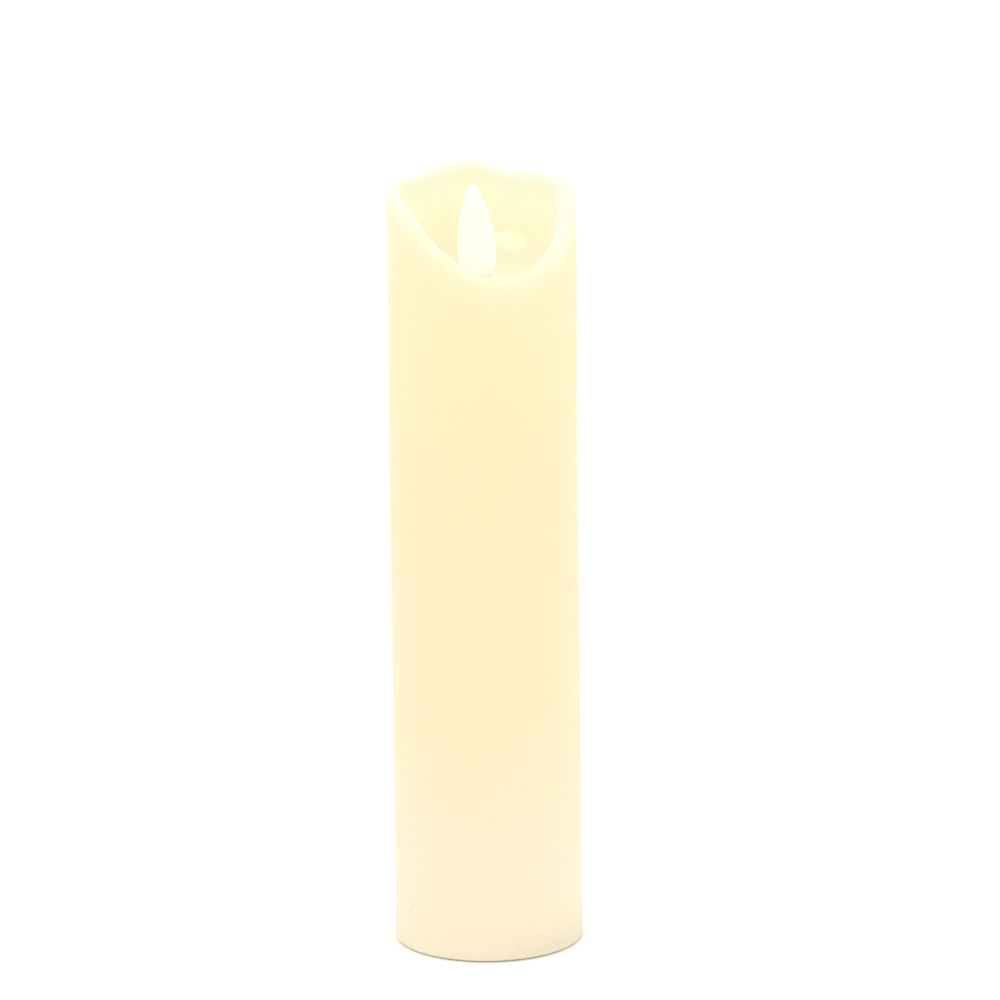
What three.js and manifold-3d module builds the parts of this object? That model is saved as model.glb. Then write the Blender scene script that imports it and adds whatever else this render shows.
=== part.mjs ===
// Flameless LED pillar candle with a swinging flame blade.
// Millimetres, +Z up, origin at the centre of the standing face, front towards -Y.
import * as THREE from "three";
import { mergeVertices } from "three/addons/utils/BufferGeometryUtils.js";
import Module from "manifold-3d";

const wasm = await Module();
wasm.setup();

// ---------------------------------------------------------------- driving dimensions
const BASE_R = 27.65; // outer radius of the wax at its foot
const TAPER = 0.0014; // loss of radius per mm of height, the mould's draft
const WAX_FOOT = 0.5; // height of the wax's lower edge above the table
const WAX_IN_R = 23.9; // inner radius of the wax sleeve
const RIM_WALL = 4.3; // wall at the melted rim
const WELL_FLOOR = 196.6; // top of the wax floor in the well
const WELL_UNDER = 192.7; // underside of that floor
const WELL_HOLE_R = 11.4; // hole in the wax floor for the collar
const WAX_SEGMENTS = 52;

// Height of the melted rim's ridge round the candle: [degrees, mm], 0 at the front, 90 at the right.
const RIM = [
  [0, 203.5], [10, 202.9], [20, 202.3], [33, 204.0], [46, 207.4], [61, 212.2],
  [76, 217.9], [86, 221.8], [95, 224.9], [104, 225.7], [116, 225.5], [128, 225.3],
  [138, 225.6], [147, 225.6], [157, 225.5], [165, 226.1], [172, 227.0], [180, 228.0],
  [188, 228.4], [197, 228.3], [204, 227.8], [212, 227.1], [221, 226.2], [230, 225.6],
  [240, 225.9], [250, 226.5], [262, 226.3], [274, 225.2], [286, 223.8], [297, 222.4],
  [313, 217.9], [327, 212.3], [339, 208.6], [350, 205.1],
];

const CORE_RO = 23.7;
const CORE_RI = 22.2;
const CORE_Z0 = 3.1;
const CORE_Z1 = 192.4;
const BOSS_R = 2.6;
const BOSS_AT = 19.2; // radius of the screw circle in the base
const BASE_SCREWS = [55, 125, 270]; // degrees
const EAR_AT = 18.8; // where the flame module's ears are screwed down
const RING_R = 23.6; // standing ring of the chassis
const PLATE_Z0 = 1.0;
const PLATE_Z1 = 3.0;

const CELL_X = 7.6; // the two AA cells stand side by side
const CELL_Y = 4.0;
const CELL_R = 7.15;
const BAY_R = 7.6;
const BOX_R = 9.4;
const TUBE_R = 9.0;
const BOX_TOP = 61.5;
const DOOR_R = 8.4;
const DOOR_X = 7.9;
const DOOR_HINGE = [14.9, 1.9]; // y, z of the hinge pin
const PIN_R = 0.7;
const SWITCH_Y = -13.0;

const MODULE_R = 16.0;
const MODULE_WALL = 1.4;
const MODULE_Z0 = 145.6;
const COLLAR_R = 11.0;
const COLLAR_TOP = 196.2;
const PIVOT_Z = 186.0;
const WIRE_R = 0.35;
const FLAME_LEAN = 3.2; // degrees that the flame stands left of upright at rest
const LED_TILT = 25; // degrees from upright towards the flame
const LED_BASE = [0, -9.2, 188.6];

// ---------------------------------------------------------------- helpers
// A closed three.js geometry as a manifold-3d solid.
function solid(geometry) {
  const g = geometry.index ? geometry.toNonIndexed() : geometry.clone();
  const bare = new THREE.BufferGeometry().setAttribute("position", g.getAttribute("position"));
  const merged = mergeVertices(bare, 1e-4);
  const index = merged.index.array;
  const tris = [];
  for (let i = 0; i < index.length; i += 3) {
    const [a, b, c] = [index[i], index[i + 1], index[i + 2]];
    if (a !== b && b !== c && a !== c) tris.push(a, b, c);
  }
  const make = (t) =>
    new wasm.Manifold(
      new wasm.Mesh({
        numProp: 3,
        vertProperties: new Float32Array(merged.attributes.position.array),
        triVerts: new Uint32Array(t),
      }),
    );
  const made = make(tris);
  if (made.volume() >= 0) return made;
  for (let i = 0; i < tris.length; i += 3) [tris[i + 1], tris[i + 2]] = [tris[i + 2], tris[i + 1]];
  return make(tris);
}

// A manifold-3d solid back as a three.js geometry with flat normals.
function geometryOf(manifold) {
  const m = manifold.getMesh();
  const v = new Float32Array(m.numVert * 3);
  for (let i = 0; i < m.numVert; i++)
    v.set(m.vertProperties.subarray(i * m.numProp, i * m.numProp + 3), i * 3);
  const g = new THREE.BufferGeometry()
    .setAttribute("position", new THREE.BufferAttribute(v, 3))
    .setIndex(new THREE.BufferAttribute(new Uint32Array(m.triVerts), 1));
  const flat = g.toNonIndexed();
  flat.computeVertexNormals();
  return flat;
}

const box = (x0, x1, y0, y1, z0, z1) =>
  solid(new THREE.BoxGeometry(x1 - x0, y1 - y0, z1 - z0).translate((x0 + x1) / 2, (y0 + y1) / 2, (z0 + z1) / 2));

const cyl = (x, y, r, z0, z1, seg = 24, rTop = r) =>
  solid(new THREE.CylinderGeometry(rTop, r, z1 - z0, seg).rotateX(Math.PI / 2).translate(x, y, (z0 + z1) / 2));

const cylX = (y, z, r, x0, x1, seg = 20) =>
  solid(new THREE.CylinderGeometry(r, r, x1 - x0, seg).rotateZ(Math.PI / 2).translate((x0 + x1) / 2, y, z));

// A profile of [radius, height] points turned round the Z axis.
const turned = (points, seg = 32, x = 0, y = 0) =>
  solid(
    new THREE.LatheGeometry(points.map(([r, z]) => new THREE.Vector2(r, z)), seg)
      .rotateX(Math.PI / 2)
      .translate(x, y, 0),
  );

const ring = (ro, ri, z0, z1, seg = 64) =>
  turned([[ri, z0], [ro, z0], [ro, z1], [ri, z1], [ri, z0]], seg);

// A stadium of two circles joined along X.
function stadium(r, halfX, cy, z0, z1, seg = 16) {
  const s = new THREE.Shape();
  s.moveTo(-halfX, cy - r);
  s.lineTo(halfX, cy - r);
  s.absarc(halfX, cy, r, -Math.PI / 2, Math.PI / 2, false);
  s.lineTo(-halfX, cy + r);
  s.absarc(-halfX, cy, r, Math.PI / 2, (3 * Math.PI) / 2, false);
  return solid(
    new THREE.ExtrudeGeometry(s, { depth: z1 - z0, bevelEnabled: false, curveSegments: seg }).translate(0, 0, z0),
  );
}

// A flat outline in X and Z, thickened evenly along Y.
function plateXZ(points, y0, y1) {
  const s = new THREE.Shape(points.map(([x, z]) => new THREE.Vector2(x, z)));
  return solid(
    new THREE.ExtrudeGeometry(s, { depth: y1 - y0, bevelEnabled: false })
      .rotateX(Math.PI / 2)
      .translate(0, y1, 0),
  );
}

// A round rod along a smooth curve through the points.
function rod(points, r, steps, sides = 6, tension = 0.5, type = "catmullrom") {
  const path = new THREE.CatmullRomCurve3(points.map((p) => new THREE.Vector3(...p)), false, type, tension);
  const s = new THREE.Shape();
  for (let i = 0; i < sides; i++) {
    const a = (2 * Math.PI * i) / sides;
    if (i) s.lineTo(r * Math.cos(a), r * Math.sin(a));
    else s.moveTo(r, 0);
  }
  s.closePath();
  return solid(new THREE.ExtrudeGeometry(s, { steps, bevelEnabled: false, extrudePath: path }));
}

class Helix extends THREE.Curve {
  constructor(x, y, z0, z1, r0, r1, turns) {
    super();
    Object.assign(this, { x, y, z0, z1, r0, r1, turns });
  }
  getPoint(t, target = new THREE.Vector3()) {
    const a = 2 * Math.PI * this.turns * t;
    const r = this.r0 + (this.r1 - this.r0) * t;
    // the first and last half turns lie nearly flat, as ground ends do
    const e = Math.min(Math.max((t * this.turns - 0.5) / (this.turns - 1), 0), 1);
    const rise = 0.12 * Math.min(t * this.turns, 0.5) + 0.12 * Math.max(0, t * this.turns - (this.turns - 0.5));
    const z = this.z0 + (this.z1 - this.z0) * (0.88 * e + rise);
    return target.set(this.x + r * Math.cos(a), this.y + r * Math.sin(a), z);
  }
}
function spring(x, y, z0, z1, r0, r1, turns, wire = 0.4) {
  const s = new THREE.Shape();
  for (let i = 0; i < 5; i++) {
    const a = (2 * Math.PI * i) / 5;
    if (i) s.lineTo(wire * Math.cos(a), wire * Math.sin(a));
    else s.moveTo(wire, 0);
  }
  s.closePath();
  return solid(
    new THREE.ExtrudeGeometry(s, {
      steps: Math.round(turns * 11),
      bevelEnabled: false,
      extrudePath: new Helix(x, y, z0, z1, r0, r1, turns),
    }),
  );
}

const rad = (d) => (d * Math.PI) / 180;
const at = (r, deg) => [r * Math.cos(rad(deg)), r * Math.sin(rad(deg))];

// A pan-head screw standing on its shank, head down at z0, with a cross recess in the head.
function panScrew(x, y, z0, headR, headH, shankR, length, seg = 12) {
  const r = headR;
  let s = turned(
    [[0, z0], [r * 0.75, z0], [r, z0 + headH * 0.45], [r, z0 + headH], [shankR, z0 + headH],
     [shankR, z0 + headH + length - shankR], [0, z0 + headH + length]],
    seg, x, y,
  );
  const w = r * 0.16, l = r * 0.55, d = headH * 0.45;
  s = s.subtract(box(x - l, x + l, y - w, y + w, z0 - 0.1, z0 + d));
  return s.subtract(box(x - w, x + w, y - l, y + l, z0 - 0.1, z0 + d));
}
// The same screw pointing down, head up at z1.
function panScrewDown(x, y, z1, headR, headH, shankR, length, seg = 14) {
  const up = panScrew(0, 0, 0, headR, headH, shankR, length, seg);
  return up.rotate([180, 0, 0]).translate([x, y, z1]);
}

const group = new THREE.Group();
const FINISH = {
  wax: [0xfff0c4, 0.55, 0.0],
  ivory_plastic: [0xf3ead2, 0.5, 0.0],
  white_core: [0xeeeae0, 0.6, 0.0],
  dark_plastic: [0x2a2a2c, 0.5, 0.0],
  flame_plastic: [0xfdfff2, 0.45, 0.0],
  steel: [0xb9bcc0, 0.35, 0.9],
  nickel: [0xc9c7be, 0.3, 0.9],
  magnet: [0xd2d3d6, 0.22, 1.0],
  copper: [0xb8692e, 0.35, 0.9],
  board: [0x2e6a3c, 0.55, 0.0],
  chip: [0x1d1d1f, 0.5, 0.0],
  capacitor: [0x24324f, 0.4, 0.0],
  cell: [0x6f7d86, 0.35, 0.4],
  led: [0xfff3d6, 0.12, 0.0],
  red_wire: [0xb3261e, 0.5, 0.0],
  black_wire: [0x1b1b1c, 0.5, 0.0],
};
function add(name, manifold, finish, parent = group) {
  const [color, roughness, metalness] = FINISH[finish];
  const mesh = new THREE.Mesh(
    geometryOf(manifold),
    new THREE.MeshStandardMaterial({ color, roughness, metalness }),
  );
  mesh.name = name;
  parent.add(mesh);
  return mesh;
}

// ---------------------------------------------------------------- wax shell
// Periodic cubic through the rim's heights.
function rimHeight(deg) {
  const n = RIM.length;
  const a = ((deg % 360) + 360) % 360;
  let i = n - 1;
  while (i > 0 && RIM[i][0] > a) i--;
  const get = (k) => {
    const w = Math.floor(k / n);
    const j = k - w * n;
    return [RIM[j][0] + 360 * w, RIM[j][1]];
  };
  const [p0, p1, p2, p3] = [get(i - 1), get(i), get(i + 1), get(i + 2)];
  const h = p2[0] - p1[0], t = (a - p1[0]) / h;
  const m1 = ((p2[1] - p0[1]) / (p2[0] - p0[0])) * h;
  const m2 = ((p3[1] - p1[1]) / (p3[0] - p1[0])) * h;
  const t2 = t * t, t3 = t2 * t;
  return (2 * t3 - 3 * t2 + 1) * p1[1] + (t3 - 2 * t2 + t) * m1 + (-2 * t3 + 3 * t2) * p2[1] + (t3 - t2) * m2;
}
const outerR = (z) => BASE_R - TAPER * z;

// The section of the wax at one side, as a closed loop of [radius, height].
function waxSection(deg) {
  const h = rimHeight(deg);
  const ro = outerR(h), ri = ro - RIM_WALL;
  const loop = [];
  for (const z of [WAX_FOOT, 40, 80, 120, 160, 190]) loop.push([outerR(z), z]);
  // outer shoulder, ridge and inner shoulder of the melted rim
  const c = 4.4; // depth of the rounding on the outside
  for (const k of [0, 0.25, 0.5, 0.75, 1]) {
    const a = (k * Math.PI) / 2;
    loop.push([ro - (RIM_WALL * 0.5) * (1 - Math.cos(a)), h - c * (1 - Math.sin(a))]);
  }
  const ci = 2.6;
  for (const k of [0.33, 0.67, 1]) {
    const a = (k * Math.PI) / 2;
    loop.push([ri + RIM_WALL * 0.5 * (1 - Math.sin(a)), h - ci * (1 - Math.cos(a))]);
  }
  // inner wall, bowl fillet and floor of the well
  const drop = h - ci - WELL_FLOOR;
  const fz = Math.min(9, 0.85 * drop), fr = 7.5;
  const lean = 0.4 * Math.min(1, drop / 20);
  loop.push([ri - 0.75 * lean, WELL_FLOOR + fz + 0.4 * (drop - fz)]);
  for (const k of [0, 0.25, 0.5, 0.75, 1]) {
    const a = (k * Math.PI) / 2;
    loop.push([ri - lean - fr * (1 - Math.cos(a)), WELL_FLOOR + fz * (1 - Math.sin(a))]);
  }
  loop.push([WELL_HOLE_R + 0.5, WELL_FLOOR - 0.3]);
  loop.push([WELL_HOLE_R, WELL_FLOOR - 0.8]);
  loop.push([WELL_HOLE_R, WELL_UNDER]);
  loop.push([WAX_IN_R, WELL_UNDER]);
  loop.push([WAX_IN_R, 100]);
  loop.push([WAX_IN_R, WAX_FOOT]);
  return loop;
}
{
  const rows = [];
  for (let i = 0; i < WAX_SEGMENTS; i++) {
    const deg = (360 * i) / WAX_SEGMENTS;
    rows.push(waxSection(deg).map(([r, z]) => [r * Math.sin(rad(deg)), -r * Math.cos(rad(deg)), z]));
  }
  const m = rows[0].length;
  const pos = rows.flat(2);
  const idx = [];
  for (let i = 0; i < WAX_SEGMENTS; i++)
    for (let j = 0; j < m; j++) {
      const a = i * m + j, b = ((i + 1) % WAX_SEGMENTS) * m + j;
      const c = ((i + 1) % WAX_SEGMENTS) * m + ((j + 1) % m), d = i * m + ((j + 1) % m);
      idx.push(a, b, c, a, c, d);
    }
  const g = new THREE.BufferGeometry();
  g.setAttribute("position", new THREE.Float32BufferAttribute(pos, 3));
  g.setIndex(idx);
  add("wax_shell", solid(g), "wax");
}

// ---------------------------------------------------------------- core tube
{
  let tube = ring(CORE_RO, CORE_RI, CORE_Z0, CORE_Z1, 44);
  for (const d of BASE_SCREWS) {
    const [x, y] = at(BOSS_AT, d);
    const web = box(BOSS_AT, CORE_RI + 0.6, -1.2, 1.2, CORE_Z0, 14).rotate([0, 0, d]);
    tube = tube.add(cyl(x, y, BOSS_R, CORE_Z0, 14, 16)).add(web);
    tube = tube.subtract(cyl(x, y, 1.15, CORE_Z0 - 1, 13, 10));
  }
  for (const s of [-1, 1]) {
    const web = box(EAR_AT, CORE_RI + 0.6, -1.2, 1.2, 174, 187.8).rotate([0, 0, s > 0 ? 0 : 180]);
    tube = tube.add(cyl(s * EAR_AT, 0, BOSS_R, 176, 187.8, 16)).add(web);
    tube = tube.subtract(cyl(s * EAR_AT, 0, 0.95, 178, 189, 10));
  }
  add("core_tube", tube, "white_core");
}

// ---------------------------------------------------------------- base chassis with the battery box
{
  let c = ring(RING_R, 21.4, 0, PLATE_Z1, 44);
  c = c.add(cyl(0, 0, 21.8, PLATE_Z0, PLATE_Z1, 44));
  let locate = ring(21.8, 20.7, 2.9, 6.0, 44);
  for (const d of BASE_SCREWS) {
    const [x, y] = at(BOSS_AT, d);
    locate = locate.subtract(cyl(x, y, BOSS_R + 0.4, 2, 7, 16));
    locate = locate.subtract(box(BOSS_AT, 23, -1.6, 1.6, 3.05, 7).rotate([0, 0, d]));
  }
  c = c.add(locate);
  // battery box: a shelf round the door opening, and above it a tube round each cell
  c = c.add(stadium(BOX_R, CELL_X, CELL_Y, 2.0, 4.4, 12));
  for (const s of [-1, 1]) c = c.add(cyl(s * CELL_X, CELL_Y, TUBE_R, 4, BOX_TOP, 26));
  c = c.add(box(-CELL_X, CELL_X, -1.2, 9.2, 4, BOX_TOP));
  // hinge lugs
  for (const s of [-1, 1]) c = c.add(box(Math.min(s * 5.3, s * 8.2), Math.max(s * 5.3, s * 8.2), 13.3, 16.5, 0.4, 3.6));
  // battery bays and the gap between them
  for (const s of [-1, 1]) c = c.subtract(cyl(s * CELL_X, CELL_Y, BAY_R, 2.9, 59.5, 22));
  c = c.subtract(box(-CELL_X, CELL_X, 0, 8, 2.9, 59.5));
  // door opening
  c = c.subtract(stadium(8.75, DOOR_X, CELL_Y, 0.9, 3.0, 12));
  // pocket for the door's knuckle
  c = c.subtract(box(-5.3, 5.3, 12, 16.7, -1, 3.0)).subtract(box(-5.3, 5.3, 13.45, 16.7, 2.9, 3.7));
  c = c.subtract(cylX(DOOR_HINGE[0], DOOR_HINGE[1], 0.88, -9, 9, 16));
  // notch for the door's finger tab
  c = c.subtract(box(-4, 4, -7.4, -4, 0, 3.0));
  // slots in the roof for the contact tabs
  c = c.subtract(box(-9.4, -5.8, 7.15, 8.0, 59, 62)).subtract(box(5.8, 9.4, 7.15, 8.0, 59, 62));
  // slider track and slot
  c = c.subtract(box(-6.6, 6.6, SWITCH_Y - 2.3, SWITCH_Y + 2.3, 0.5, 1.5));
  c = c.subtract(box(-5.2, 5.2, SWITCH_Y - 1.4, SWITCH_Y + 1.4, 0, 3.5));
  // position dots beside the track: one for on, two for timer
  for (const [x, y] of [[0, -9.6], [3.1, -9.6], [4.7, -9.6]]) c = c.add(cyl(x, y, 0.4, 0.75, 1.2, 8));
  // bosses for the switch board
  for (const s of [-1, 1]) {
    c = c.add(cyl(s * 9.6, SWITCH_Y, 2.0, 2.9, 8.9, 16));
    c = c.subtract(cyl(s * 9.6, SWITCH_Y, 0.75, 3.9, 9.5, 10));
  }
  // base screw holes with counterbores
  for (const d of BASE_SCREWS) {
    const [x, y] = at(BOSS_AT, d);
    c = c.subtract(cyl(x, y, 1.4, 0, 4, 12)).subtract(cyl(x, y, 2.55, 0.5, 2.05, 16));
  }
  add("base_chassis", c, "ivory_plastic");
}

// ---------------------------------------------------------------- battery door
{
  const [hy, hz] = DOOR_HINGE;
  let d = stadium(DOOR_R, DOOR_X, CELL_Y, 1.0, 2.6, 12);
  d = d.add(box(-5.1, 5.1, 11.5, hy, 1.0, 2.6)).add(cylX(hy, hz, 1.4, -5.1, 5.1, 20));
  d = d.subtract(cylX(hy, hz, 0.88, -6, 6, 16));
  d = d.add(box(-3.5, 3.5, -6.9, -4, 1.0, 2.4));
  // grip ribs on the finger tab
  for (const y of [-6.6, -5.6, -4.6]) d = d.add(box(-2.8, 2.8, y, y + 0.4, 0.65, 1.1));
  // heat-staked posts for the bridging contact
  for (const y of [1.9, 6.1]) d = d.add(cyl(0, y, 0.8, 2.5, 3.7, 12));
  add("battery_door", d, "ivory_plastic");
  add("hinge_pin", cylX(hy, hz, PIN_R, -7.9, 7.9, 16), "steel");
  // bridging contact: spring seat at the left, pressed dimple at the right
  let b = box(-12, 12, 0.3, 7.7, 2.7, 3.1);
  b = b.add(cyl(CELL_X, CELL_Y, 3.0, 3.0, 3.95, 20, 2.2));
  for (const y of [1.9, 6.1]) b = b.subtract(cyl(0, y, 0.95, 2, 4, 12));
  add("door_contact", b, "nickel");
  add("door_spring", spring(-CELL_X, CELL_Y, 3.65, 7.2, 4.6, 2.7, 3.5), "nickel");
}

// ---------------------------------------------------------------- cells and their contacts
const cellSection = (z0) => [
  [0, z0], [5.2, z0], [5.2, z0 + 0.25], [CELL_R - 0.5, z0 + 0.25], [CELL_R, z0 + 0.8],
  [CELL_R, z0 + 48.2], [CELL_R - 0.7, z0 + 48.9], [3.2, z0 + 48.9], [2.7, z0 + 49.1], [2.7, z0 + 50.2], [2.4, z0 + 50.5], [0, z0 + 50.5],
];
add("battery_1", turned(cellSection(7.8), 22, -CELL_X, CELL_Y), "cell");
add("battery_2", turned(cellSection(0), 22).rotate([180, 0, 0]).translate([CELL_X, CELL_Y, 54.6]), "cell");
{
  const tab = (x) =>
    box(x - 1.5, x + 1.5, 7.4, 7.8, 58.6, 65).subtract(
      solid(new THREE.CylinderGeometry(0.6, 0.6, 2, 12).translate(x, 7.6, 63.6)),
    );
  add("contact_positive", box(-11.6, -3.6, 0.4, 7.8, 58.5, 58.9).add(tab(-CELL_X)), "nickel");
  add("contact_negative", box(3.6, 11.6, 0.4, 7.8, 58.9, 59.3).add(tab(CELL_X)), "nickel");
  add("top_spring", spring(CELL_X, CELL_Y, 55.05, 58.4, 2.7, 4.6, 3.5), "nickel");
}

// ---------------------------------------------------------------- fasteners in the base
BASE_SCREWS.forEach((d, i) => {
  const [x, y] = at(BOSS_AT, d);
  add(`base_screw_${i + 1}`, panScrew(x, y, 0.75, 2.3, 1.2, 1.0, 8.5), "steel");
});

// ---------------------------------------------------------------- slide switch
{
  const y = SWITCH_Y;
  let k = box(-2.0, 2.0, y - 1.15, y + 1.15, 0.75, 3.3).add(box(-4.3, 4.3, y - 2.2, y + 2.2, 3.1, 3.9));
  for (const x of [-1.4, -0.2, 1.0]) k = k.add(box(x, x + 0.4, y - 1.15, y + 1.15, 0.45, 0.8));
  k = k.add(box(-1.9, 1.9, y - 1.3, y + 1.3, 3.8, 5.0)).subtract(box(-1.05, 1.05, y - 2, y + 2, 4.1, 6));
  add("switch_knob", k, "dark_plastic");
  add("switch_actuator", box(-0.9, 0.9, y - 0.8, y + 0.8, 4.25, 6.4).add(box(-2.6, 2.6, y - 1.8, y + 1.8, 6.3, 7.5)), "dark_plastic");
  let f = box(-6.4, 6.4, y - 2.6, y + 2.6, 5.4, 9.0).subtract(box(-6.1, 6.1, y - 2.3, y + 2.3, 5.75, 10));
  f = f.subtract(box(-4.2, 4.2, y - 1.0, y + 1.0, 5, 6));
  add("switch_frame", f, "steel");
  let ins = box(-6.0, 6.0, y - 2.2, y + 2.2, 7.8, 8.9);
  let pcb = box(-12, 12, y - 3.2, y + 3.2, 9.1, 10.1);
  for (const x of [-3, 0, 3]) {
    ins = ins.subtract(cyl(x, y, 0.5, 7, 10, 10));
    pcb = pcb.subtract(cyl(x, y, 0.55, 9, 11, 10));
  }
  for (const s of [-1, 1]) pcb = pcb.subtract(cyl(s * 9.6, y, 0.95, 9, 11, 12));
  add("switch_insulator", ins, "dark_plastic");
  add("switch_board", pcb, "board");
  [-3, 0, 3].forEach((x, i) => add(`switch_terminal_${i + 1}`, box(x - 0.3, x + 0.3, y - 0.2, y + 0.2, 7.9, 11.3), "nickel"));
  [-9.6, 9.6].forEach((x, i) => add(`switch_screw_${i + 1}`, panScrewDown(x, y, 11.2, 1.7, 1.0, 0.62, 5.6, 12), "steel"));
}

// ---------------------------------------------------------------- flame module housing, two halves split at x = 0
const ledAxis = new THREE.Vector3(0, Math.sin(rad(LED_TILT)), Math.cos(rad(LED_TILT)));
const alongLed = (g) =>
  g.rotateX(-rad(LED_TILT)).translate(LED_BASE[0], LED_BASE[1], LED_BASE[2]);
const ledRod = (r, a, b, seg = 20) =>
  solid(alongLed(new THREE.CylinderGeometry(r, r, b - a, seg).rotateX(Math.PI / 2).translate(0, 0, (a + b) / 2)));
{
  const ri = MODULE_R - MODULE_WALL;
  let h = turned(
    [[ri, MODULE_Z0], [MODULE_R, MODULE_Z0], [MODULE_R, 191.9], [COLLAR_R, 191.9], [COLLAR_R, COLLAR_TOP - 0.8],
     [COLLAR_R - 0.8, COLLAR_TOP], [0, COLLAR_TOP], [0, COLLAR_TOP - 1.4], [COLLAR_R - 1.5, COLLAR_TOP - 1.4],
     [COLLAR_R - 1.5, 190.4], [ri, 190.4], [ri, MODULE_Z0]],
    36,
  );
  // ears that stand on the core tube's bosses
  h = h.add(box(-EAR_AT, EAR_AT, -2.9, 2.9, 188.0, 190.4).subtract(cyl(0, 0, ri, 180, 200, 36)));
  for (const s of [-1, 1]) {
    h = h.add(cyl(s * EAR_AT, 0, 2.9, 188.0, 190.4, 16));
    // bosses for the flame board
    h = h.add(cyl(s * 10.6, 0, 2.1, 148.5, 155, 14)).add(
      box(Math.min(s * 11, s * (ri + 0.4)), Math.max(s * 11, s * (ri + 0.4)), -1, 1, 148.5, 155),
    );
    // bosses for the screws that join the halves
    const boss = cylX(s * 12.1, 168, 2.3, -9.4, 9.4, 16).intersect(cyl(0, 0, MODULE_R - 0.5, 160, 176, 36));
    h = h.add(boss);
    // posts that carry the pivot wire
    h = h.add(box(-1.6, 1.6, s > 0 ? 11.7 : -ri - 0.4, s > 0 ? ri + 0.4 : -11.7, 180.5, 188.2));
  }
  // LED socket
  h = h.add(ledRod(4.1, 0.6, 6.6).subtract(cyl(0, 0, 40, COLLAR_TOP - 0.5, 260, 8)).subtract(ring(30, 10.6, 191.5, 200)));
  h = h.subtract(ledRod(2.85, -3, 14)).subtract(ledRod(3.25, -3, 1.6));
  // slot for the flame's neck
  h = h.subtract(box(-4.6, 4.6, -2.1, 2.1, 189, 200));
  for (const s of [-1, 1]) h = h.subtract(cyl(s * 4.6, 0, 2.1, 189, 200, 16));
  for (const s of [-1, 1]) {
    h = h.subtract(cyl(s * EAR_AT, 0, 1.2, 187, 192, 12));
    h = h.subtract(cyl(s * 10.6, 0, 0.85, 148, 154, 10));
    // screw from the left: head pocket, clearance hole, then pilot hole
    h = h.subtract(cylX(s * 12.1, 168, 2.0, -14, -8.0, 16));
    h = h.subtract(cylX(s * 12.1, 168, 0.95, -9, 7.5, 12));
    // groove for the wire and its bent end
    h = h.subtract(box(-0.5, 0.5, s > 0 ? 10 : -13.7, s > 0 ? 13.7 : -10, PIVOT_Z - 0.5, PIVOT_Z + 0.5));
    h = h.subtract(box(-0.5, 0.5, s > 0 ? 12.6 : -13.7, s > 0 ? 13.7 : -12.6, 181.8, PIVOT_Z + 0.5));
  }
  const left = h.intersect(box(-40, -0.05, -40, 40, 100, 240));
  const right = h.intersect(box(0.05, 40, -40, 40, 100, 240));
  add("module_housing_left", left, "ivory_plastic");
  add("module_housing_right", right, "ivory_plastic");
}
for (const [i, s] of [-1, 1].entries()) {
  add(
    `module_screw_${i + 1}`,
    panScrew(0, 0, 0, 1.8, 1.0, 0.8, 13.5, 12).rotate([0, 90, 0]).translate([-9.2, s * 12.1, 168]),
    "steel",
  );
  add(`module_mount_screw_${i + 1}`, panScrewDown(s * EAR_AT, 0, 191.65, 2.1, 1.1, 0.8, 10.5, 12), "steel");
  add(`board_screw_${i + 1}`, panScrew(s * 10.6, 0, 145.9, 1.6, 0.95, 0.7, 6.2, 12), "steel");
}

// ---------------------------------------------------------------- flame board, coil and parts
{
  let pcb = cyl(0, 0, 14.3, 147.0, 148.2, 32);
  for (const s of [-1, 1]) pcb = pcb.subtract(cyl(s * 10.6, 0, 0.95, 146, 149, 12));
  for (const s of [-1, 1]) pcb = pcb.subtract(cyl(s * 2.2, -9.0, 0.75, 146, 149, 10));
  add("flame_board", pcb, "board");
  let bobbin = turned(
    [[1.4, 148.4], [7, 148.4], [7, 149.2], [2.8, 149.2], [2.8, 156.6], [7, 156.6], [7, 157.4], [1.4, 157.4], [1.4, 148.4]],
    22,
  );
  add("coil_bobbin", bobbin, "dark_plastic");
  add("coil_winding", turned([[2.95, 149.35], [6.2, 149.35], [6.5, 149.8], [6.5, 156.0], [6.2, 156.45], [2.95, 156.45], [2.95, 149.35]], 24), "copper");
  let chip = box(-2.5, 2.5, 3.2, 7.0, 145.3, 146.7);
  for (const x of [-1.9, -0.63, 0.63, 1.9]) chip = chip.add(box(x - 0.2, x + 0.2, 2.2, 8.0, 146.3, 146.8));
  add("controller_chip", chip, "chip");
  add("driver_transistor", box(-7.3, -4.4, -4.2, -2.9, 145.7, 146.8).add(box(-6.1, -5.6, -4.9, -2.2, 146.5, 146.8)), "chip");
  add("flyback_diode", box(-1.4, 1.4, -3.0, -1.4, 145.7, 146.8), "chip");
  add("resistor_1", box(5.4, 7.4, 2.2, 3.4, 146.2, 146.8), "chip");
  add("resistor_2", box(-8.4, -6.4, 2.6, 3.8, 146.2, 146.8), "chip");
  add("smoothing_capacitor", turned([[0, 140.0], [2.2, 140.0], [2.5, 140.4], [2.5, 145.6], [2.3, 145.9], [2.5, 146.2], [2.5, 146.8], [0, 146.8]], 20, 5.2, -6.4), "capacitor");
}

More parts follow.
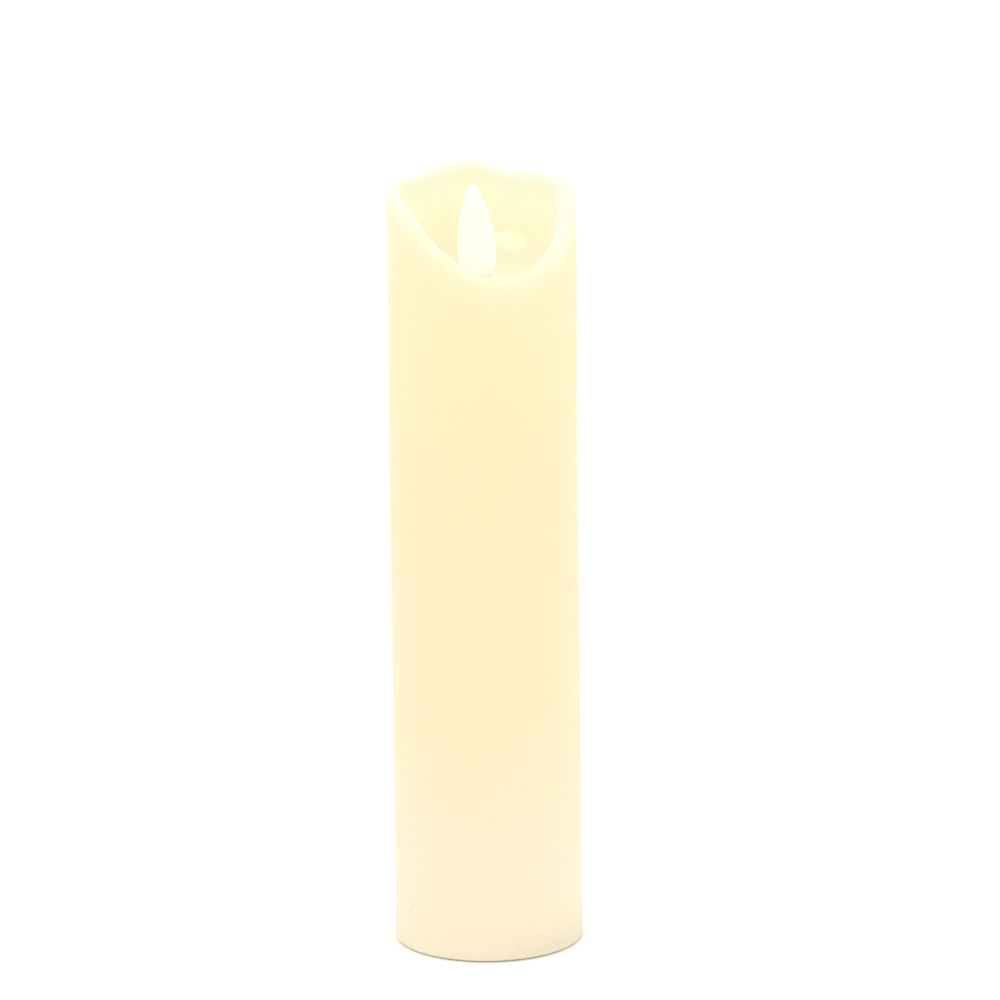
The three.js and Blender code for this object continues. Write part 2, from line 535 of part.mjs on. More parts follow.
// ---------------------------------------------------------------- flame blade and its magnet
// Half width of the blade below its tip: [mm below the tip, half width].
const BLADE = [
  [0, 0], [0.3, 0.75], [1.05, 1.36], [1.95, 1.74], [2.85, 2.14], [3.75, 2.5], [4.65, 2.85], [5.55, 3.15], [6.45, 3.43],
  [7.35, 3.73], [8.25, 4.01], [9.15, 4.25], [10.1, 4.47], [11.2, 4.69], [12.4, 4.92], [13.6, 5.17], [14.8, 5.42],
  [16, 5.54], [17.4, 5.56], [19, 5.5], [20.6, 5.42], [22.2, 5.32], [23.4, 5.18], [24.4, 4.95], [25.3, 4.58],
  [26.2, 4.08], [27, 3.4], [27.6, 2.6],
];
const TIP_Z = 225.65;
const flame = new THREE.Group();
// the flame turns about the pivot wire, which runs front to back
flame.position.set(0, 0, PIVOT_Z);
flame.rotation.y = -rad(FLAME_LEAN);
group.add(flame);
{
  const z = (v) => v - PIVOT_Z;
  // a lens-like blade: two skins that bulge by 1 mm in the middle and meet in a 0.5 mm edge
  const nx = 3; // steps from the middle to the edge
  const rows = BLADE.slice(1).map(([d, w]) => ({ z: z(TIP_Z - d), w }));
  const bulge = (u, w) => 0.25 + 0.75 * Math.min(1, w / 4) * (1 - u * u);
  const pos = [], idx = [];
  const ringN = 4 * nx;
  for (const r of rows) {
    for (let k = 0; k < ringN; k++) {
      const side = k < 2 * nx ? -1 : 1; // front skin first, from right edge to left edge
      const u = k < 2 * nx ? 1 - k / nx : -1 + (k - 2 * nx) / nx;
      pos.push(u * r.w, side * bulge(u, r.w), r.z);
    }
  }
  const top = pos.length / 3;
  pos.push(0, 0, z(TIP_Z));
  const bottom = top + 1;
  pos.push(0, 0, rows.at(-1).z - 0.4);
  for (let i = 0; i + 1 < rows.length; i++)
    for (let k = 0; k < ringN; k++) {
      const a = i * ringN + k, b = i * ringN + ((k + 1) % ringN);
      idx.push(a, a + ringN, b, b, a + ringN, b + ringN);
    }
  for (let k = 0; k < ringN; k++) {
    idx.push(top, k, (k + 1) % ringN);
    const o = (rows.length - 1) * ringN;
    idx.push(bottom, o + ((k + 1) % ringN), o + k);
  }
  const g = new THREE.BufferGeometry();
  g.setAttribute("position", new THREE.Float32BufferAttribute(pos, 3));
  g.setIndex(idx);
  let f = solid(g);
  // neck, pivot eye, tail and magnet cup
  f = f.add(plateXZ([[-1.5, z(201)], [1.5, z(201)], [1.3, z(186.6)], [-1.3, z(186.6)]], -0.7, 0.7));
  f = f.add(solid(new THREE.CylinderGeometry(2.6, 2.6, 1.6, 28).translate(0, 0, -0.5)));
  f = f.add(plateXZ([[-1.4, z(185)], [1.4, z(185)], [1.7, z(165)], [-1.7, z(165)]], -0.7, 0.7));
  f = f.add(cyl(0, 0, 3.3, z(160.2), z(166.0), 28));
  f = f.subtract(solid(new THREE.CylinderGeometry(0.92, 0.92, 4, 20).translate(0, 0, -0.5)));
  f = f.subtract(cyl(0, 0, 2.62, z(159), z(163.7), 24));
  add("flame_blade", f, "flame_plastic", flame);
  add("flame_magnet", cyl(0, 0, 2.5, z(160.5), z(163.5), 24), "magnet", flame);
}
add(
  "pivot_wire",
  rod([[0, -13.1, 182.4], [0, -13.1, 184.4], [0, -13.1, 185.6], [0, -12.6, 186], [0, -6, 186], [0, 6, 186], [0, 12.6, 186], [0, 13.1, 185.6], [0, 13.1, 184.4], [0, 13.1, 182.4]], WIRE_R, 36, 8),
  "steel",
);

// ---------------------------------------------------------------- LED, its leads and wires
{
  const profile = [[0, 0], [2.85, 0], [2.85, 1.0], [2.5, 1.0], [2.5, 6.1], [2.38, 6.9], [2.05, 7.6], [1.5, 8.2], [0.8, 8.5], [0, 8.6]];
  let lens = solid(
    alongLed(new THREE.LatheGeometry(profile.map(([r, z]) => new THREE.Vector2(r, z)), 18).rotateX(Math.PI / 2)),
  );
  add("led", lens, "led");
  const down = (d) => [LED_BASE[1] - ledAxis.y * d, LED_BASE[2] - ledAxis.z * d];
  [[1.27, "anode"], [-1.27, "cathode"]].forEach(([x, n]) => {
    const [y1, z1] = down(0.3), [y2, z2] = down(1.3);
    add(`led_lead_${n}`, rod([[x, y1, z1], [x, y2, z2], [x, -9.95, 186.0], [x, -9.95, 183], [x, -9.95, 180.6]], 0.24, 9, 5), "nickel");
    add(
      `led_wire_${n}`,
      rod([[x, -9.95, 180.3], [x * 1.1, -9.7, 177], [x * 1.4, -8.9, 172], [x * 1.6, -8.7, 164], [x * 1.7, -8.8, 156], [x * 1.73, -9.0, 151], [x * 1.73, -9.0, 148.5]], 0.5, 14, 5),
      n === "anode" ? "red_wire" : "black_wire",
    );
  });
}

// ---------------------------------------------------------------- supply wires
add("wire_battery_to_switch", rod([[-7.6, 8.3, 63.6], [-9.5, 10.5, 66.5], [-14.5, 9.5, 67], [-18.6, 3.5, 60], [-19.2, -2, 45], [-17.5, -7.5, 25], [-10, -12.4, 17], [-3.2, -13, 14], [-3, -13, 11.7]], 0.65, 30, 5), "red_wire");
add("wire_switch_to_board", rod([[0, -13, 11.7], [0.3, -12.6, 14.5], [8, -11.8, 20], [16.5, -8.5, 32], [18.8, -1, 60], [18, 4, 90], [14, 7.5, 118], [9.5, 9.2, 134], [8.3, 9.6, 142], [8.3, 9.6, 146.7]], 0.65, 34, 5), "red_wire");
add("wire_battery_negative", rod([[7.6, 8.3, 63.6], [7.0, 10.0, 67.5], [3, 10.5, 82], [-3, 11.5, 105], [-7, 11, 126], [-7.2, 9.4, 140], [-7.2, 9.4, 146.7]], 0.65, 24, 5), "black_wire");

export default group;
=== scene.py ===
import math

import bmesh
import bpy
import numpy as np
from mathutils import Matrix, Vector


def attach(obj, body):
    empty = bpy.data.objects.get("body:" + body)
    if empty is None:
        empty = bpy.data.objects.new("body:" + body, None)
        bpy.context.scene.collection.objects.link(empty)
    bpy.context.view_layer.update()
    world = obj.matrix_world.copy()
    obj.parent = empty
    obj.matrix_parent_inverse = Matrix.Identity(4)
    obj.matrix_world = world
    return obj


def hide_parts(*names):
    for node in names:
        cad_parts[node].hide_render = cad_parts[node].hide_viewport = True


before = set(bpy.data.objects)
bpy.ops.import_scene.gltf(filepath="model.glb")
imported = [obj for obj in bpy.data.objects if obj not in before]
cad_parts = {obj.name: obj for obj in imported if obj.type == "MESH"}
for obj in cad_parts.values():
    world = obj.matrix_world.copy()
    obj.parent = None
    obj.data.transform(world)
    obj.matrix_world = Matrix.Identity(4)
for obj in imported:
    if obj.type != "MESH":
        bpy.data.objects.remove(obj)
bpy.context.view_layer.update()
MM = 0.001

# ------------------------------------------------------------------ camera
ELEV, DIST, ROLL = math.radians(13.4405), 1.5714, math.radians(-0.672)
LOOK = Vector((0.004630, 0.0, 0.132285))


def camera():
    data = bpy.data.cameras.new("camera")
    data.sensor_width = 36.0
    data.lens = 194.33
    data.clip_start, data.clip_end = 0.05, 50.0
    cam = bpy.data.objects.new("camera", data)
    bpy.context.scene.collection.objects.link(cam)
    place = LOOK + DIST * Vector((0, -math.cos(ELEV), math.sin(ELEV)))
    fw = (LOOK - place).normalized()
    right = fw.cross(Vector((0, 0, 1))).normalized()
    up = right.cross(fw)
    c, s = math.cos(ROLL), math.sin(ROLL)
    r2, u2 = c * right + s * up, c * up - s * right
    m = Matrix((r2, u2, -fw)).transposed().to_4x4()
    m.translation = place
    cam.matrix_world = m
    bpy.context.scene.camera = cam


camera()

# ------------------------------------------------------------------ node helpers


class Nodes:
    """A small builder for one material's node tree."""

    def __init__(self, name):
        self.mat = bpy.data.materials.new(name)
        self.mat.use_nodes = True
        self.t = self.mat.node_tree
        self.n = self.t.nodes
        self.bsdf = self.n["Principled BSDF"]
        self.coord = self.n.new("ShaderNodeTexCoord").outputs["Object"]

    def link(self, a, b):
        self.t.links.new(a, b)
        return self

    def set(self, **values):
        for k, v in values.items():
            self.bsdf.inputs[k.replace("_", " ")].default_value = v
        return self

    def mapped(self, scale=(1, 1, 1), rotation=(0, 0, 0), location=(0, 0, 0)):
        m = self.n.new("ShaderNodeMapping")
        m.inputs["Scale"].default_value = scale
        m.inputs["Rotation"].default_value = rotation
        m.inputs["Location"].default_value = location
        self.link(self.coord, m.inputs["Vector"])
        return m.outputs["Vector"]

    def noise(self, scale, detail=3.0, rough=0.5, vector=None, distortion=0.0):
        x = self.n.new("ShaderNodeTexNoise")
        x.inputs["Scale"].default_value = scale
        x.inputs["Detail"].default_value = detail
        x.inputs["Roughness"].default_value = rough
        x.inputs["Distortion"].default_value = distortion
        self.link(vector or self.coord, x.inputs["Vector"])
        return x.outputs["Fac"]

    def voronoi(self, scale, vector=None, feature="F1"):
        x = self.n.new("ShaderNodeTexVoronoi")
        x.feature = feature
        x.inputs["Scale"].default_value = scale
        self.link(vector or self.coord, x.inputs["Vector"])
        return x.outputs["Distance"]

    def ramp(self, fac, stops, mode="LINEAR"):
        x = self.n.new("ShaderNodeValToRGB")
        x.color_ramp.interpolation = mode
        e = x.color_ramp.elements
        while len(e) > 1:
            e.remove(e[-1])
        for i, (p, col) in enumerate(stops):
            el = e[0] if i == 0 else e.new(p)
            el.position = p
            el.color = tuple(col) + (1.0,) if len(col) == 3 else tuple(col)
        self.link(fac, x.inputs["Fac"])
        return x.outputs["Color"]

    def remap(self, fac, a, b, c, d, smooth=False):
        x = self.n.new("ShaderNodeMapRange")
        x.interpolation_type = "SMOOTHSTEP" if smooth else "LINEAR"
        for k, v in zip(("From Min", "From Max", "To Min", "To Max"), (a, b, c, d)):
            x.inputs[k].default_value = v
        self.link(fac, x.inputs["Value"])
        return x.outputs["Result"]

    def math(self, op, a, b=None):
        x = self.n.new("ShaderNodeMath")
        x.operation = op
        for i, v in enumerate((a, b)):
            if v is None:
                continue
            if isinstance(v, (int, float)):
                x.inputs[i].default_value = v
            else:
                self.link(v, x.inputs[i])
        return x.outputs[0]

    def mix(self, fac, a, b, mode="MIX"):
        x = self.n.new("ShaderNodeMix")
        x.data_type = "RGBA"
        x.blend_type = mode
        for sock, v in ((x.inputs[0], fac), (x.inputs[6], a), (x.inputs[7], b)):
            if isinstance(v, (int, float)):
                sock.default_value = v
            elif isinstance(v, (tuple, list)):
                sock.default_value = tuple(v) + (1.0,) if len(v) == 3 else tuple(v)
            else:
                self.link(v, sock)
        return x.outputs[2]

    def axis(self, which, vector=None):
        x = self.n.new("ShaderNodeSeparateXYZ")
        self.link(vector or self.coord, x.inputs[0])
        return x.outputs[which]

    def attribute(self, name):
        x = self.n.new("ShaderNodeAttribute")
        x.attribute_name = name
        return x.outputs["Fac"]

    def bump(self, height, strength, distance, before=None):
        x = self.n.new("ShaderNodeBump")
        x.inputs["Strength"].default_value = strength
        x.inputs["Distance"].default_value = distance
        self.link(height, x.inputs["Height"])
        if before is not None:
            self.link(before, x.inputs["Normal"])
        self.link(x.outputs["Normal"], self.bsdf.inputs["Normal"])
        return x.outputs["Normal"]

    def colour(self, socket):
        return self.link(socket, self.bsdf.inputs["Base Color"])

    def rough(self, socket):
        return self.link(socket, self.bsdf.inputs["Roughness"])


def shade(col, k):
    return tuple(min(1.0, c * k) for c in col)


# ------------------------------------------------------------------ materials
def wax_material():
    m = Nodes("wax")
    z = m.axis(2)
    big = m.noise(22, 2, 0.5, m.mapped((1, 1, 0.4)))
    mottle = m.noise(260, 4, 0.6)
    fine = m.noise(1500, 3, 0.65)
    # painted light: a deeper cream in the middle and upper body stands in for the lamp inside glowing through, and a
    # paler foot stands in for light from the floor
    painted_light_gradient = m.ramp(m.remap(z, 0.0, 0.228, 0.0, 1.0), [
        (0.0, (0.895, 0.783, 0.590)), (0.12, (0.895, 0.780, 0.585)), (0.30, (0.893, 0.765, 0.514)),
        (0.62, (0.893, 0.766, 0.492)), (0.80, (0.895, 0.792, 0.496)), (1.0, (0.895, 0.812, 0.522))])
    body = m.mix(m.remap(big, 0.35, 0.70, 0.0, 0.18, True), painted_light_gradient, (0.895, 0.790, 0.560))
    frost = m.remap(mottle, 0.50, 0.80, 0.0, 0.05, True)
    body = m.mix(frost, body, (0.90, 0.85, 0.70))
    # the inside of the well, a little glossier; its colour is painted brighter and warmer, a painted glow standing in
    # for the LED's light in the well
    well = m.attribute("well")
    body = m.mix(m.remap(well, 0.0, 0.8, 0.0, 1.0, True), body, (0.978, 0.955, 0.757))
    # painted light on the lip: paler and greener where light passes through the thin wax and falls from above, painted
    # weaker towards the front lip
    rim_light_front_fade = m.remap(m.axis(1), -0.026, -0.012, 0.50, 0.95, True)
    body = m.mix(m.math("MULTIPLY", m.attribute("rim"), rim_light_front_fade), body, (0.828, 0.882, 0.728))
        # painted shade near the floor: the foot is darkened, most at the +X side
    side = m.remap(m.axis(0), -0.008, 0.026, 0.06, 1.0, True)
    foot = m.math("MULTIPLY", m.remap(z, 0.0, 0.013, 1.0, 0.0, True), side)
    nick = None
    for at, r in (((-0.0229, -0.0152, 0.0125), 0.0011), ((-0.0238, -0.0139, 0.0086), 0.0007), ((-0.0220, -0.0165, 0.0150), 0.0006)):
        d = m.n.new("ShaderNodeVectorMath")
        d.operation = "DISTANCE"
        m.link(m.coord, d.inputs[0])
        d.inputs[1].default_value = at
        k = m.remap(d.outputs["Value"], r * 0.3, r, 1.0, 0.0, True)
        nick = k if nick is None else m.math("MAXIMUM", nick, k)
    nick = m.math("MULTIPLY", nick, m.remap(m.noise(1900, 2, 0.6), 0.42, 0.60, 0.0, 0.42, True))
    body = m.mix(nick, body, (0.60, 0.50, 0.36))
    # painted shade at the foot, broken up by noise
    painted_foot_shade = m.math("MULTIPLY", foot, m.remap(m.noise(900, 4, 0.7), 0.35, 0.65, 0.15, 0.44, True))
    body = m.mix(painted_foot_shade, body, (0.62, 0.55, 0.42))
    m.colour(body)
    rough = m.remap(mottle, 0.3, 0.8, 0.48, 0.60)
    m.rough(m.math("SUBTRACT", rough, m.math("MULTIPLY", well, 0.16)))
    b1 = m.bump(m.noise(90, 2, 0.5), 0.18, 0.0007)
    b2 = m.bump(mottle, 0.20, 0.00030, b1)
    m.bump(fine, 0.20, 0.00010, b2)
    m.set(Subsurface_Weight=0.55, Subsurface_Radius=(1.0, 0.62, 0.32), Subsurface_Scale=0.0035, IOR=1.44)
    m.bsdf.inputs["Specular IOR Level"].default_value = 0.42
    return m.mat


def flame_material():
    m = Nodes("flame_plastic")
    z = m.axis(2)
    grain = m.noise(900, 2, 0.5)
    base = m.ramp(m.remap(z, 0.160, 0.226, 0.0, 1.0), [(0.0, (0.78, 0.78, 0.72)), (0.50, (0.72, 0.73, 0.66)), (0.62, (0.60, 0.62, 0.53)), (1.0, (0.60, 0.62, 0.54))])
    m.colour(m.mix(m.remap(grain, 0.4, 0.7, 0.0, 0.10), base, (0.70, 0.71, 0.64)))
    m.rough(m.remap(grain, 0.3, 0.7, 0.36, 0.5))
    # painted glow: emission stands in for the LED lighting the blade from below, carried up to its tip, bluish low on
    # the blade and warm near the tip
    m.link(m.remap(z, 0.194, 0.202, 0.0, 0.40, True), m.bsdf.inputs["Emission Strength"])
    m.link(m.ramp(m.remap(z, 0.199, 0.226, 0.0, 1.0), [(0.0, (0.90, 1.0, 1.0)), (0.35, (0.96, 1.0, 0.97)), (0.75, (1.0, 1.0, 0.90)), (1.0, (1.0, 1.0, 0.96))]), m.bsdf.inputs["Emission Color"])
    m.bump(grain, 0.12, 0.00008)
    m.set(Subsurface_Weight=0.4, Subsurface_Radius=(1.0, 0.9, 0.75), Subsurface_Scale=0.002, IOR=1.5)
    return m.mat


def moulded(name, col, rough=(0.42, 0.55), texture=5200, depth=0.00005, spec=0.45, sss=0.0, mottled=0.04):
    m = Nodes(name)
    drift = m.noise(55, 3, 0.5)
    grain = m.noise(texture, 2, 0.6)
    m.colour(m.ramp(drift, [(0.25, shade(col, 1 - mottled)), (0.5, col), (0.78, shade(col, 1 + mottled))]))
    m.rough(m.remap(m.noise(420, 3, 0.6), 0.3, 0.7, *rough))
    b = m.bump(m.noise(140, 2, 0.5), 0.10, 0.0004)
    m.bump(grain, 0.35, depth, b)
    m.bsdf.inputs["Specular IOR Level"].default_value = spec
    if sss:
        m.set(Subsurface_Weight=sss, Subsurface_Radius=(1.0, 0.8, 0.6), Subsurface_Scale=0.0015)
    return m.mat


def ivory_material():
    """The flame module's shell: its thin collar carries a painted glow, an emission standing in for the warm light of
    the LED beneath it.
    """
    m = Nodes("ivory_plastic")
    col = (0.89, 0.84, 0.69)
    drift = m.noise(55, 3, 0.5)
    grain = m.noise(3800, 2, 0.6)
    m.colour(m.ramp(drift, [(0.25, shade(col, 0.96)), (0.5, col), (0.78, shade(col, 1.04))]))
    m.rough(m.remap(m.noise(420, 3, 0.6), 0.3, 0.7, 0.40, 0.54))
    # painted glow on the collar near the top
    m.link(m.remap(m.axis(2), 0.1885, 0.1950, 0.0, 0.24, True), m.bsdf.inputs["Emission Strength"])
    m.link(m.ramp(drift, [(0.3, (1.0, 0.93, 0.70)), (0.7, (1.0, 0.95, 0.76))]), m.bsdf.inputs["Emission Color"])
    b = m.bump(m.noise(140, 2, 0.5), 0.10, 0.0004)
    m.bump(grain, 0.35, 0.00006, b)
    m.set(Subsurface_Weight=0.15, Subsurface_Radius=(1.0, 0.8, 0.6), Subsurface_Scale=0.0015)
    m.bsdf.inputs["Specular IOR Level"].default_value = 0.45
    return m.mat


def metal(name, col, rough=(0.22, 0.40), streak=(1, 1, 30), anis=0.0, tint=(0.9, 0.88, 0.8)):
    m = Nodes(name)
    s = m.noise(900, 4, 0.6, m.mapped(streak))
    stain = m.noise(160, 4, 0.65)
    c = m.mix(m.remap(stain, 0.5, 0.8, 0.0, 0.35, True), col, tuple(a * b for a, b in zip(col, tint)))
    m.colour(m.mix(m.remap(s, 0.3, 0.7, 0.0, 0.25), c, shade(col, 1.12)))
    m.rough(m.remap(s, 0.3, 0.7, *rough))
    m.bump(s, 0.12, 0.00003)
    m.set(Metallic=1.0)
    if anis:
        m.set(Anisotropic=anis)
    return m.mat


def copper_winding():
    m = Nodes("copper")
    z = m.axis(2)
    # the dark bands between the turns are painted shade in the grooves between the wires
    turns = m.math("SINE", m.math("MULTIPLY", z, 2 * math.pi / 0.00022))
    wob = m.noise(700, 3, 0.5)
    m.colour(m.mix(m.remap(turns, -1.0, 1.0, 0.0, 1.0), (0.30, 0.10, 0.035), m.ramp(wob, [(0.3, (0.62, 0.26, 0.10)), (0.7, (0.80, 0.38, 0.16))])))
    m.rough(m.remap(wob, 0.3, 0.7, 0.22, 0.36))
    m.bump(turns, 0.9, 0.00006)
    m.set(Metallic=1.0, Coat_Weight=0.4)
    return m.mat


def board_material():
    m = Nodes("board")
    v = m.mapped((1, 1, 1), (0, 0, 0.4))
    traces = m.n.new("ShaderNodeTexBrick")
    traces.inputs["Scale"].default_value = 320
    traces.inputs["Mortar Size"].default_value = 0.05
    traces.inputs["Mortar Smooth"].default_value = 0.2
    m.link(v, traces.inputs["Vector"])
    weave = m.voronoi(1600)
    mask = m.remap(traces.outputs["Fac"], 0.0, 1.0, 0.0, 1.0)
    green = m.ramp(m.noise(120, 3, 0.5), [(0.3, (0.020, 0.125, 0.045)), (0.7, (0.030, 0.175, 0.060))])
    m.colour(m.mix(mask, green, (0.05, 0.27, 0.09)))
    m.rough(m.remap(weave, 0.0, 0.6, 0.28, 0.4))
    b = m.bump(mask, 0.35, 0.00004)
    m.bump(weave, 0.1, 0.00003, b)
    m.set(Coat_Weight=0.3)
    return m.mat


def cell_material():
    """Printed sleeve with plain bands, bare metal ends. Bands are laid out along the cell from its own minus end."""
    m = Nodes("cell")
    along = m.attribute("along")
    radial = m.attribute("radial")
    scuff = m.noise(420, 5, 0.65, m.mapped((1, 1, 0.15)))
    sleeve = m.ramp(along, [
        (0.0, (0.060, 0.065, 0.072)), (0.685, (0.060, 0.065, 0.072)), (0.690, (0.70, 0.60, 0.36)), (0.705, (0.70, 0.60, 0.36)),
        (0.710, (0.075, 0.16, 0.19)), (0.930, (0.075, 0.16, 0.19)), (0.935, (0.72, 0.62, 0.38)), (0.975, (0.72, 0.62, 0.38))], "CONSTANT")
    sleeve = m.mix(m.remap(scuff, 0.62, 0.8, 0.0, 0.35), sleeve, (0.45, 0.45, 0.44))
    bare = m.mix(m.remap(scuff, 0.4, 0.7, 0.0, 0.3), (0.70, 0.69, 0.66), (0.56, 0.55, 0.52))
    end = m.remap(radial, 0.90, 0.94, 1.0, 0.0)
    m.colour(m.mix(end, sleeve, bare))
    m.link(m.remap(end, 0.0, 1.0, 0.35, 1.0), m.bsdf.inputs["Metallic"])
    m.rough(m.remap(scuff, 0.3, 0.8, 0.22, 0.42))
    m.bump(scuff, 0.08, 0.00004)
    m.set(Coat_Weight=0.25)
    return m.mat


def led_material():
    m = Nodes("led_lens")
    z = m.axis(2)
    inner = m.noise(500, 2, 0.5)
    m.colour(m.ramp(inner, [(0.3, (1.0, 0.90, 0.66)), (0.7, (1.0, 0.95, 0.80))]))
    m.rough(m.remap(inner, 0.3, 0.7, 0.04, 0.10))
    m.link(m.remap(z, 0.189, 0.197, 0.25, 0.75, True), m.bsdf.inputs["Emission Strength"])
    m.link(m.ramp(inner, [(0.3, (1.0, 0.80, 0.48)), (0.7, (1.0, 0.90, 0.68))]), m.bsdf.inputs["Emission Color"])
    m.set(Transmission_Weight=0.55, IOR=1.52)
    return m.mat


def wire_material(name, col):
    m = Nodes(name)
    n = m.noise(300, 4, 0.6)
    m.colour(m.ramp(n, [(0.3, shade(col, 0.86)), (0.6, col), (0.8, shade(col, 1.12))]))
    m.rough(m.remap(n, 0.3, 0.7, 0.30, 0.46))
    m.bump(m.noise(1300, 2, 0.5), 0.15, 0.00004)
    return m.mat


M = {
    "wax": wax_material(),
    "flame": flame_material(),
    "core": moulded("core_plastic", (0.83, 0.81, 0.75), (0.45, 0.6), 2600, 0.00005, 0.4, 0.2),
    "ivory": ivory_material(),
    "dark": moulded("dark_plastic", (0.022, 0.022, 0.024), (0.38, 0.55), 4200, 0.00006, 0.5, 0.0, 0.18),
    "chip": moulded("chip", (0.016, 0.016, 0.018), (0.5, 0.66), 6000, 0.00003, 0.4, 0.0, 0.2),
    "steel": metal("steel", (0.66, 0.67, 0.69), (0.20, 0.38)),
    "nickel": metal("nickel", (0.74, 0.71, 0.64), (0.16, 0.30), (1, 1, 8)),
    "magnet": metal("magnet", (0.80, 0.80, 0.81), (0.06, 0.18), (1, 1, 3)),
    "copper": copper_winding(),
    "board": board_material(),
    "sleeve": moulded("capacitor_sleeve", (0.015, 0.03, 0.10), (0.22, 0.32), 1500, 0.00003, 0.5, 0.0, 0.15),
    "cell": cell_material(),
    "led": led_material(),
    "red": wire_material("wire_red", (0.42, 0.016, 0.012)),
    "black": wire_material("wire_black", (0.014, 0.014, 0.016)),
}

# ------------------------------------------------------------------ mesh helpers (millimetres in, metres out)


def make(name, verts, faces, mats, smooth=True):
    me = bpy.data.meshes.new(name)
    me.from_pydata([tuple(c * MM for c in v) for v in verts], [], faces)
    me.validate()
    for x in mats if isinstance(mats, (list, tuple)) else [mats]:
        me.materials.append(x)
    o = bpy.data.objects.new(name, me)
    bpy.context.scene.collection.objects.link(o)
    bm = bmesh.new()
    bm.from_mesh(me)
    bmesh.ops.recalc_face_normals(bm, faces=bm.faces)
    bm.to_mesh(me)
    bm.free()
    if smooth:
        smooth_by_angle(o)
    return o


def smooth_by_angle(o, angle=35):
    me = o.data
    me.polygons.foreach_set("use_smooth", [True] * len(me.polygons))
    bm = bmesh.new()
    bm.from_mesh(me)
    lim = math.radians(angle)
    for e in bm.edges:
        e.smooth = not (len(e.link_faces) == 2 and e.calc_face_angle(0) > lim)
    bm.to_mesh(me)
    bm.free()


def bake(o):
    """Applies the object's modifiers to its mesh."""
    bpy.context.view_layer.update()
    dg = bpy.context.evaluated_depsgraph_get()
    me = bpy.data.meshes.new_from_object(o.evaluated_get(dg))
    old = o.data
    o.modifiers.clear()
    o.data = me
    bpy.data.meshes.remove(old)
    return o


def put(o, body, nodes):
    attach(o, body)
    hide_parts(*([nodes] if isinstance(nodes, str) else nodes))
    return o


def lathe_data(profile, seg=96, x=0.0, y=0.0, closed=False):
    """Vertices and faces of a profile of (radius, z) turned about a vertical axis at x, y."""
    verts, rings = [], []
    for r, z in profile:
        if r < 1e-6:
            rings.append([len(verts)])
            verts.append((x, y, z))
        else:
            start = len(verts)
            for i in range(seg):
                a = 2 * math.pi * i / seg
                verts.append((x + r * math.cos(a), y + r * math.sin(a), z))
            rings.append(list(range(start, start + seg)))
    faces = []
    pairs = list(zip(rings, rings[1:] + ([rings[0]] if closed else [])))
    if not closed:
        pairs = list(zip(rings, rings[1:]))
    for a, b in pairs:
        for i in range(seg):
            j = (i + 1) % seg
            if len(a) == 1 and len(b) == 1:
                continue
            if len(a) == 1:
                faces.append((a[0], b[i], b[j]))
            elif len(b) == 1:
                faces.append((a[i], b[0], a[j]))
            else:
                faces.append((a[i], b[i], b[j], a[j]))
    return verts, faces


def rounded(points, radius=0.3, steps=3, closed=False):
    """The same outline with each corner turned into a small arc."""
    out = []
    n = len(points)
    for i, p in enumerate(points):
        if not closed and i in (0, n - 1):
            out.append(p)
            continue
        a, b = points[i - 1], points[(i + 1) % n]
        va = np.array(a, float) - p
        vb = np.array(b, float) - p
        la, lb = np.linalg.norm(va), np.linalg.norm(vb)
        t = min(radius, 0.45 * la, 0.45 * lb)
        cosang = float(np.dot(va, vb) / (la * lb + 1e-12))
        if t < 1e-4 or cosang < -0.995:
            out.append(p)
            continue
        q0, q2 = np.array(p) + va / la * t, np.array(p) + vb / lb * t
        for k in range(steps + 1):
            u = k / steps
            q = (1 - u) ** 2 * q0 + 2 * u * (1 - u) * np.array(p, float) + u * u * q2
            out.append(tuple(q))
    return out


def catmull(points, per=12):
    p = [np.array(q, float) for q in points]
    p = [2 * p[0] - p[1]] + p + [2 * p[-1] - p[-2]]
    out = []
    for i in range(1, len(p) - 2):
        for k in range(per):
            t = k / per
            m0, m1 = 0.5 * (p[i + 1] - p[i - 1]), 0.5 * (p[i + 2] - p[i])
            out.append((2 * t**3 - 3 * t**2 + 1) * p[i] + (t**3 - 2 * t**2 + t) * m0 + (-2 * t**3 + 3 * t**2) * p[i + 1] + (t**3 - t**2) * m1)
    out.append(p[-2])
    return out


def tube_data(path, r, sides=14, r_end=None):
    path = [np.array(q, float) for q in path]
    t0 = path[1] - path[0]
    t0 /= np.linalg.norm(t0)
    ref = np.array((0, 0, 1.0)) if abs(t0[2]) < 0.9 else np.array((1.0, 0, 0))
    u = np.cross(t0, ref)
    u /= np.linalg.norm(u)
    verts, faces = [], []
    n = len(path)
    for i, c in enumerate(path):
        t = path[min(i + 1, n - 1)] - path[max(i - 1, 0)]
        t /= np.linalg.norm(t)
        u = u - t * np.dot(u, t)
        u /= np.linalg.norm(u)
        w = np.cross(t, u)
        for k in range(sides):
            a = 2 * math.pi * k / sides
            verts.append(tuple(c + r * (math.cos(a) * u + math.sin(a) * w)))
    for i in range(n - 1):
        for k in range(sides):
            l = (k + 1) % sides
            faces.append((i * sides + k, i * sides + l, (i + 1) * sides + l, (i + 1) * sides + k))
    faces.append(tuple(reversed(range(sides))))
    faces.append(tuple((n - 1) * sides + k for k in range(sides)))
    return verts, faces


def turned(name, profile, mats, seg=96, x=0.0, y=0.0, closed=False, angle=35):
    v, f = lathe_data(profile, seg, x, y, closed)
    o = make(name, v, f, mats, smooth=False)
    smooth_by_angle(o, angle)
    return o


